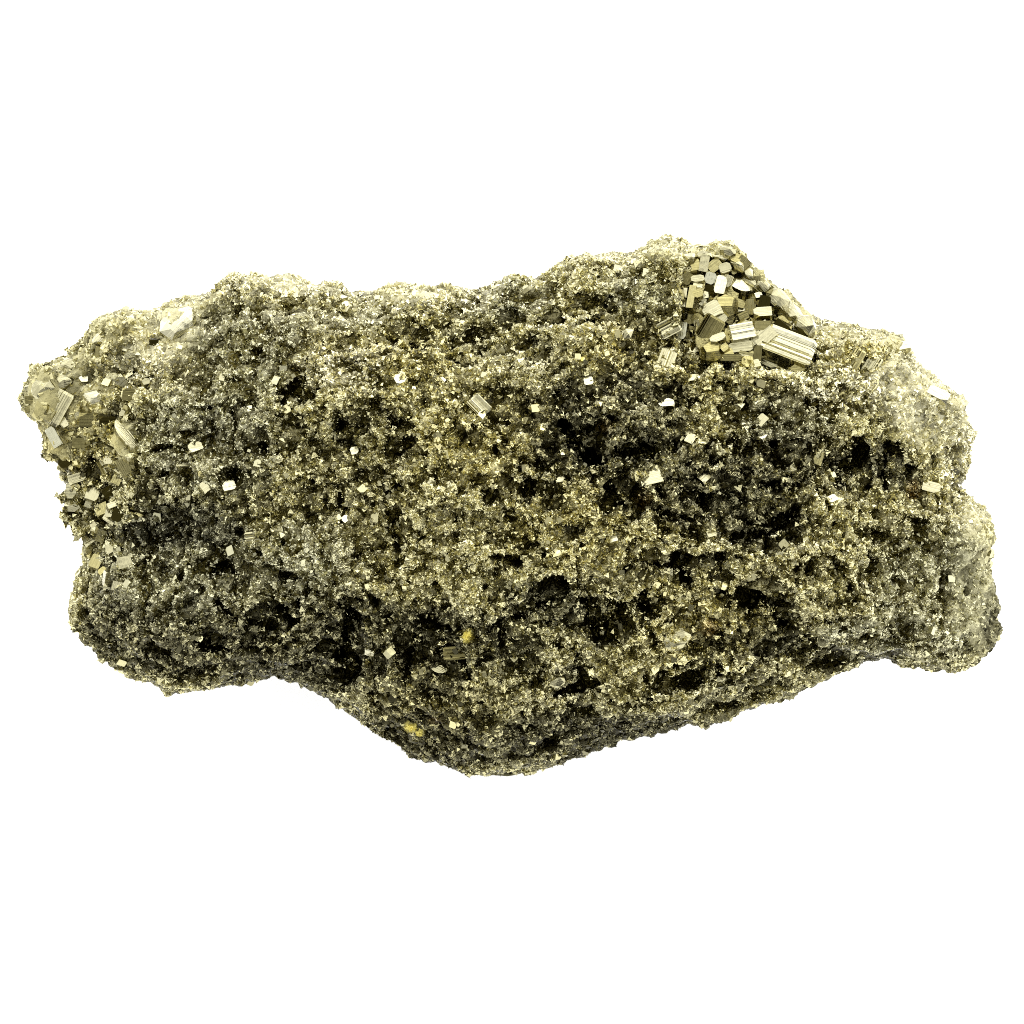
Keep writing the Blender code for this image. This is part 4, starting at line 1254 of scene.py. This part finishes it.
# The same for crystals on the face and at the left end
FACE_CRYSTALS = [
    (58, 408, 36, 22, 14, 62, -0.25, 0.2, "finely striped", "khaki"),
    (42, 388, 30, 24, 14, 50, -0.3, 0.25, "dome", "khaki"),
    (60, 382, 26, 20, 14, 20, -0.15, 0.35, "dome", "khaki"),
    (40, 410, 24, 20, 12, 60, -0.35, 0.1, "dome", "olive"),
    (50, 438, 22, 10, 10, -58, -0.3, 0.2, "chipped", "grey"),
    (61, 420, 22, 8, 14, -62, -0.1, 0.4, "chipped", "cream"),
    (31, 399, 12, 8, 8, 5, -0.3, -0.05, "chipped", "brown"),
    (26, 411, 9, 7, 8, 20, -0.3, 0.0, "chipped", "brown"),
    (92, 418, 26, 14, 12, 0, 0.0, -0.3, "chipped", "brown"),
    (107, 421, 16, 14, 12, 0, 0.0, -0.3, "chipped", "dark"),
    (81, 442, 18, 10, 10, 0, 0.0, -0.1, "chipped", "brown"),
    (65, 461, 13, 12, 9, 45, -0.2, -0.1, "chipped", "dark"),
    (94, 398, 30, 22, 18, 10, 0.05, 0.45, "dome", "white"),
    (83, 380, 9, 7, 8, 0, 0.0, 0.5, "chipped", "white"),
    (132, 394, 20, 12, 9, -5, 0.0, -0.1, "chipped", "brown"),
    (99, 353, 14, 8, 9, 80, 0.0, -0.1, "chipped", "olive"),
    (124, 442, 36, 17, 34, -58, 0.1, 0.6, "crescent", "cream"),
    (126, 468, 26, 15, 12, -60, 0.2, -0.1, "chipped", "olive"),
    (77, 477, 18, 14, 12, 15, -0.2, 0.3, "chipped", "khaki"),
    (102, 469, 20, 8, 12, -65, 0.1, 0.4, "striped", "cream"),
    (93, 493, 18, 13, 12, 70, 0.0, 0.35, "chipped", "cream"),
    (109, 491, 13, 13, 10, 30, 0.0, -0.2, "chipped", "dark"),
    (73, 506, 20, 14, 12, 15, -0.2, 0.35, "pyritohedron", "cream"),
    (115, 505, 18, 6, 10, 28, 0.1, 0.5, "block", "cream"),
    (118, 515, 13, 13, 10, 70, 0.0, 0.0, "chipped", "dark"),
    (138, 516, 14, 12, 9, 0, 0.0, 0.2, "dome", "olive"),
    (175, 319, 50, 32, 16, 48, 0.0, 0.5, "dome", "white"),
    (155, 341, 12, 6, 7, 0, 0.0, -0.3, "chipped", "dark"),
    (112, 378, 20, 16, 14, 30, 0.1, 0.4, "dome", "khaki"),
    (70, 365, 24, 18, 14, 15, -0.2, 0.5, "dome", "khaki"),
    (100, 338, 22, 16, 12, 50, 0.0, 0.5, "dome", "cream"),
    (133, 352, 20, 15, 12, 10, 0.1, 0.4, "dome", "khaki"),
    (84, 540, 16, 13, 10, 30, -0.2, 0.3, "chipped", "khaki"),
    (96, 562, 14, 11, 10, 70, -0.1, 0.3, "chipped", "olive"),
    (194, 448, 14, 10, 12, 20, 0.1, 0.5, "chipped", "cream"),
    (206, 487, 13, 11, 12, 40, 0.1, 0.4, "chipped", "cream"),
    (201, 473, 10, 9, 10, 0, 0.0, 0.1, "dome", "olive"),
    (251, 538, 15, 13, 12, 10, 0.1, 0.4, "striped", "khaki"),
    (183, 466, 14, 4, 9, 0, 0.0, 0.5, "block", "cream"),
    (934, 535, 18, 15, 10, 20, 0.1, 0.0, "dome", "olive"),
    (930, 490, 18, 11, 20, -15, 0.1, 0.4, "chipped", "cream"),
    (818, 458, 13, 9, 9, 70, 0.0, 0.1, "chipped", "olive"),
    (761, 421, 12, 9, 10, 50, 0.0, 0.4, "chipped", "cream"),
    (556, 680, 20, 16, 12, 20, 0.0, 0.3, "dome", "khaki"),
    (574, 672, 10, 9, 10, 20, 0.0, 0.3, "dome", "cream"),
    (719, 678, 15, 12, 12, 20, 0.0, 0.4, "dome", "khaki"),
    (400, 381, 12, 11, 12, 30, 0.0, 0.65, "chipped", "white"),
    (478, 408, 22, 17, 16, -50, 0.1, 0.45, "striped", "cream"),
    (650, 480, 20, 17, 18, 20, 0.1, 0.55, "chipped", "cream"),
    (704, 478, 14, 13, 14, 50, 0.0, 0.6, "chipped", "cream"),
    (711, 535, 9, 8, 10, 20, 0.0, 0.6, "chipped", "cream"),
    (762, 437, 9, 8, 10, 60, 0.0, 0.65, "chipped", "white"),
    (588, 383, 9, 9, 10, 10, 0.0, 0.65, "chipped", "white"),
    (665, 405, 16, 9, 12, 10, 0.1, 0.65, "chipped", "white"),
    (625, 333, 20, 16, 13, 30, 0.0, 0.4, "dome", "khaki"),
    (228, 488, 13, 11, 12, 20, 0.1, 0.65, "chipped", "white"),
    (195, 449, 13, 9, 10, 30, 0.1, 0.65, "chipped", "white"),
    (345, 520, 8, 7, 8, 50, 0.0, 0.6, "chipped", "white"),
    (354, 452, 8, 8, 8, 20, 0.0, 0.6, "chipped", "white"),
    (371, 648, 13, 11, 12, 70, 0.1, 0.6, "striped", "white"),
    (457, 652, 28, 13, 14, 4, 0.0, -0.05, "striped", "brown"),
    (437, 668, 20, 14, 12, -30, 0.0, 0.3, "crescent", "khaki"),
    (676, 638, 32, 25, 14, 20, 0.0, 0.3, "dome", "khaki"),
    (668, 329, 22, 17, 14, 30, 0.0, 0.3, "striped", "khaki"),
    (666, 360, 20, 16, 14, 70, 0.1, 0.35, "striped", "cream"),
    (855, 359, 22, 14, 12, 60, 0.0, 0.15, "striped", "olive"),
    (871, 366, 22, 15, 12, 58, 0.1, 0.15, "striped", "khaki"),
    (905, 345, 14, 9, 10, 20, 0.1, 0.65, "chipped", "white"),
    (937, 395, 22, 11, 10, -30, 0.2, 0.5, "chipped", "white"),
    (612, 540, 9, 8, 9, 20, 0.0, 0.6, "chipped", "white"),
    (690, 440, 11, 9, 10, 65, 0.0, 0.55, "chipped", "cream"),
    (832, 500, 9, 8, 9, 35, 0.0, 0.6, "chipped", "white"),
    (560, 480, 10, 8, 9, 15, 0.0, 0.6, "chipped", "cream"),
    (520, 600, 9, 8, 9, 40, 0.0, 0.6, "chipped", "cream"),
]
# Rounded crystals that close the ridge behind the pocket
RIDGE_CRYSTALS = [
    (703, 256, 18, 13, 16, -10, 0.0, 0.3, "dome", "khaki"),
    (719, 258, 20, 13, 16, -15, 0.0, 0.3, "dome", "cream"),
    (736, 265, 22, 15, 18, -40, 0.1, 0.3, "dome", "khaki"),
    (750, 272, 22, 15, 18, -45, 0.1, 0.3, "dome", "cream"),
    (762, 284, 24, 17, 20, -45, 0.1, 0.3, "dome", "khaki"),
    (776, 299, 32, 24, 24, -48, 0.1, 0.3, "dome", "khaki"),
    (791, 313, 32, 26, 24, -45, 0.1, 0.3, "dome", "cream"),
    (804, 327, 28, 24, 22, -45, 0.1, 0.35, "dome", "khaki"),
    (690, 258, 18, 14, 16, 10, 0.0, 0.3, "dome", "cream"),
    (728, 250, 20, 14, 16, -20, 0.0, 0.4, "dome", "khaki"),
]

# How many stripes a crystal has, and how deep they are for its thickness
STRIPED = {"striped": (9, 0.07), "softly striped": (7, 0.035), "finely striped": (18, 0.02)}
# The width of the fine stripes in mm, and how far apart in them two crystals are
STRIPE_WIDTH = 0.13
STRIPE_STEP = 50.0
# Each crystal of a table has its own seed, counted from here
FIRST_SEED = 50

# A crystal that would reach past the outline is moved inward: the ways round it that are tested,
# the most times it is moved, how far for its reach, and its reach for its size
INWARD_WAYS = 8
INWARD_TRIES = 8
INWARD_STEP = 0.15
LARGE_REACH = 0.45
SMALL_REACH = 0.7

# Steps in pixels to spots beside a crystal, whose height it follows where it stands over a crack,
# and at what share of their heights a large and a small crystal stand
BESIDE = [(0, 0), (5, 0), (-5, 0), (0, 5), (0, -5)]
LARGE_HEIGHT = 0.3
SMALL_HEIGHT = 0.5


def seen_frame(turn, right, up):
    """Axes of a crystal: z out of its seen face, y along its length."""
    z = unit(np.array((right, up, 1.0)))
    angle = math.radians(turn)
    length = np.array((math.cos(angle), math.sin(angle), 0.0))
    y = unit(length - z * (length @ z))
    return np.stack((np.cross(y, z), y, z), axis=1)


def crystal_shape(kind, seed):
    """The form that a table names."""
    if kind in STRIPED:
        return striped_form(seed, *STRIPED[kind])
    if kind == "crescent":
        return crescent_form()
    if kind == "dome":
        return dome_form(seed)
    if kind == "chipped":
        return chipped_form(seed)
    return PYRITOHEDRON if kind == "pyritohedron" else BLOCK


class Heap:
    """Crystals set one by one, made into one piece at the end."""

    def __init__(self):
        self.forms = []
        self.values = {label: [] for label in ("stripe", *LOOK_LABELS)}

    def add(self, form, centre, axes, scale, look):
        """Set one crystal: its middle, its axes, its size along them and its look."""
        self.forms.append(form.copies(centre[None], axes[None], np.array(scale)[None]))
        stripe = form.points[:, 0] * scale[0] / STRIPE_WIDTH + STRIPE_STEP * len(self.forms)
        self.values["stripe"].append(stripe)
        for label, level in zip(LOOK_LABELS, look):
            self.values[label].append(np.full(len(form.points), level))

    def piece(self, name):
        values = {label: np.concatenate(levels) for label, levels in self.values.items()}
        layout = cell_layout([box_layout(form) for form in self.forms])
        return mesh_piece(name, joined(self.forms), crystal_finish, values, layout)


def drawn_in(tree, x, y, reach):
    """A pixel moved inward until what stands there keeps within the stone's outline."""
    turns = np.arange(INWARD_WAYS) * 2.0 * math.pi / INWARD_WAYS
    ways = np.column_stack((np.cos(turns), np.sin(turns)))
    for _ in range(INWARD_TRIES):
        missed = [way for way in ways if seen_at(tree, x + way[0] * reach, y + way[1] * reach) is None]
        if not missed:
            break
        x, y = np.array((x, y)) - unit(np.sum(missed, axis=0)) * reach * INWARD_STEP
    return x, y


def seat(trees, x, y, share):
    """Where to set a crystal behind a pixel: as high as a share of the surfaces round it, or None."""
    hits = [seen_at(tree, x + right, y + down) for tree in trees for right, down in BESIDE]
    heights = sorted((hit[0][2] for hit in hits if hit is not None), reverse=True)
    here = [hit for hit in hits[::len(BESIDE)] if hit is not None]
    if not here:
        return None
    height = heights[int(share * (len(heights) - 1))]
    return np.array((*here[0][0][:2], height)), here[0][1]


def set_crystals(heap, trees, table, rise):
    """Stand crystals behind their pixels, with a share of their thickness over the surface."""
    for number, (x, y, length, width, thick, turn, right, up, kind, look) in enumerate(table):
        found = seat(trees, *drawn_in(stone.tree, x, y, LARGE_REACH * max(length, width)), LARGE_HEIGHT)
        if found is None:
            continue
        scale = np.array((width, length, thick)) * PIXEL
        centre = found[0] - np.array((0.0, 0.0, scale[2] * (0.5 - rise)))
        form = crystal_shape(kind, FIRST_SEED + number)
        heap.add(form, centre, seen_frame(turn, right, up), scale, LOOKS[look])


# The pocket's own crust: the size of its quads in mm, the rounds that smooth it, and the margin in
# mm by which it is drawn in, so that the crystals stand out of it
CRUST_VOXEL = 0.22
CRUST_SMOOTHING = 1
CRUST_MARGIN = 0.2

crust_form = solid_form("pocket_crystals", CRUST_VOXEL, CRUST_SMOOTHING)
crust_tree = search_tree(crust_form)
crust_form.points = crust_form.points - crust_form.point_normals() * CRUST_MARGIN
crust_looks = zip(LOOK_LABELS, LOOKS["olive"])
crust_values = {label: np.full(len(crust_form.points), level) for label, level in crust_looks}
crust_layout = box_layout(crust_form)
lining = mesh_piece("pocket_lining", crust_form, skin_finish, crust_values, crust_layout)
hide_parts("pocket_crystals")

# Ovals in the picture that smaller crystals fill: (x, y, half width, half height), and their count
POCKET_OVALS = [(722, 308, 44, 54, 460), (775, 342, 42, 26, 190)]
LEFT_END_OVALS = [
    (56, 400, 34, 46, 16), (100, 385, 44, 42, 30), (88, 485, 34, 50, 26), (100, 560, 30, 40, 16),
]
# The smaller crystals: their forms, their looks, and the share of each look in both places
FILL_FORMS = [chipped_form(5), chipped_form(8), PYRITOHEDRON, dome_form(7), BLOCK]
FILL_LOOKS = ["cream", "khaki", "gold", "olive", "amber"]
POCKET_SHARES = [0.16, 0.22, 0.26, 0.2, 0.16]
LEFT_END_SHARES = [0.3, 0.46, 0.02, 0.18, 0.04]
# Their least and greatest sizes in mm, how many are small, how they are stretched, how much they
# lean to the right and up, and how deep they sit
POCKET_SIZES = (0.4, 1.1)
LEFT_END_SIZES = (0.4, 1.2)
FILL_SMALL = 1.5
FILL_STRETCH = (0.75, 1.2)
FILL_LEAN = (0.35, 0.4)
FILL_UP = 0.15
FILL_SEAT = 0.3


def under_large_crystal(x, y, table):
    """Whether a pixel lies on one of the table's crystals."""
    for other_x, other_y, length, width, _, turn, *_ in table:
        angle = math.radians(turn)
        along = (x - other_x) * math.cos(angle) - (y - other_y) * math.sin(angle)
        across = (x - other_x) * math.sin(angle) + (y - other_y) * math.cos(angle)
        if abs(along) < 0.5 * length and abs(across) < 0.5 * width:
            return True
    return False


def fill_ovals(heap, trees, ovals, table, sizes, shares):
    """Smaller crystals at random in ovals of the picture, clear of the large ones in the table."""
    least, most = sizes
    for middle_x, middle_y, half_width, half_height, count in ovals:
        for _ in range(count):
            turn = chance.uniform(0.0, 2.0 * math.pi)
            away = math.sqrt(chance.random())
            x = middle_x + half_width * away * math.cos(turn)
            y = middle_y + half_height * away * math.sin(turn)
            size = least + (most - least) * chance.random() ** FILL_SMALL
            length_turn = chance.uniform(0.0, 180.0)
            right = chance.normal() * FILL_LEAN[0]
            up = chance.normal() * FILL_LEAN[1] + FILL_UP
            form = FILL_FORMS[chance.integers(len(FILL_FORMS))]
            look = LOOKS[chance.choice(FILL_LOOKS, p=shares)]
            scale = size * chance.uniform(*FILL_STRETCH, 3)
            x, y = drawn_in(stone.tree, x, y, size / PIXEL * SMALL_REACH)
            found = seat(trees, x, y, SMALL_HEIGHT)
            if found is not None and not under_large_crystal(x, y, table):
                axes = seen_frame(length_turn, right, up)
                heap.add(form, found[0] - found[1] * size * FILL_SEAT, axes, scale, look)


# How much of their thickness the large crystals show over the surface
POCKET_RISE = 0.3
FACE_RISE = 0.12
RIDGE_RISE = 0.4

pocket_heap = Heap()
set_crystals(pocket_heap, [crust_tree, stone.tree], POCKET_CRYSTALS, POCKET_RISE)
fill_ovals(
    pocket_heap, [crust_tree, stone.tree], POCKET_OVALS, POCKET_CRYSTALS, POCKET_SIZES, POCKET_SHARES)
pocket = pocket_heap.piece("pocket_crystal_cluster")
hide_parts("pocket_crystals")

face_heap = Heap()
set_crystals(face_heap, [stone.tree], FACE_CRYSTALS, FACE_RISE)
set_crystals(face_heap, [stone.tree, crust_tree], RIDGE_CRYSTALS, RIDGE_RISE)
fill_ovals(face_heap, [stone.tree], LEFT_END_OVALS, FACE_CRYSTALS, LEFT_END_SIZES, LEFT_END_SHARES)
face_heap.piece("face_crystals")


# Floor, lights and camera

FLOOR_REACH = 2.5
WHITE = tint(1.0, 1.0, 1.0)
PAPER = tint(0.8, 0.8, 0.8)
PAPER_ROUGHNESS = 0.9
PAPER_GLOW = 0.85

# Soft lights: name, place and size in metres, power in watts. All look at a spot over the floor
SOFT_LIGHTS = [
    ("back_light", (0.05, 0.65, 0.4), (2.3, 1.25), 16.0),
    ("top_light", (0.0, 0.1, 0.8), (1.3, 0.95), 7.8),
    ("left_light", (-0.75, 0.15, 0.35), (1.15, 1.0), 5.8),
    ("right_light", (0.75, 0.15, 0.35), (1.25, 1.0), 9.0),
    ("front_light", (-0.15, -0.6, 0.6), (1.2, 0.75), 2.3),
]
LIT_SPOT = Vector((0.0, 0.0, 0.02))
AIR_LIGHT = 0.12
CAMERA_REACH = (0.01, 10.0)
FILTER_WIDTH = 1.0

floor_corners = [(x * FLOOR_REACH, y * FLOOR_REACH, 0.0) for x, y in ((-1, -1), (1, -1), (1, 1), (-1, 1))]
floor_mesh = bpy.data.meshes.new("floor")
floor_mesh.from_pydata(floor_corners, [], [(0, 1, 2, 3)])
paper = Finish(
    "pale lit paper", base_color=PAPER, roughness=PAPER_ROUGHNESS,
    emission_color=WHITE, emission_strength=PAPER_GLOW)
floor_mesh.materials.append(paper.material)
floor = in_scene("floor", floor_mesh)

for name, place, size, power in SOFT_LIGHTS:
    light = bpy.data.lights.new(name, "AREA")
    light.shape = "RECTANGLE"
    light.size, light.size_y = size
    light.energy = power
    lamp = in_scene(name, light)
    lamp.location = place
    lamp.rotation_euler = (LIT_SPOT - Vector(place)).to_track_quat("-Z", "Y").to_euler()

world = bpy.data.worlds.new("studio")
world.use_nodes = True
air = world.node_tree.nodes["Background"]
air.inputs["Color"].default_value = WHITE
air.inputs["Strength"].default_value = AIR_LIGHT
bpy.context.scene.world = world

lens = bpy.data.cameras.new("camera")
lens.lens = LENS
lens.sensor_width = SENSOR
lens.clip_start, lens.clip_end = CAMERA_REACH
camera = in_scene("camera", lens)
look_back = Vector(FACE_AXES[2])
camera.location = Vector(to_part(np.array(AIM))) + look_back * VIEW_DISTANCE * MM
camera.rotation_mode = "QUATERNION"
camera.rotation_quaternion = (-look_back).to_track_quat("-Z", "Y")
bpy.context.scene.camera = camera
bpy.context.scene.view_settings.view_transform = "Standard"
bpy.context.scene.cycles.use_denoising = False
bpy.context.scene.cycles.filter_width = FILTER_WIDTH
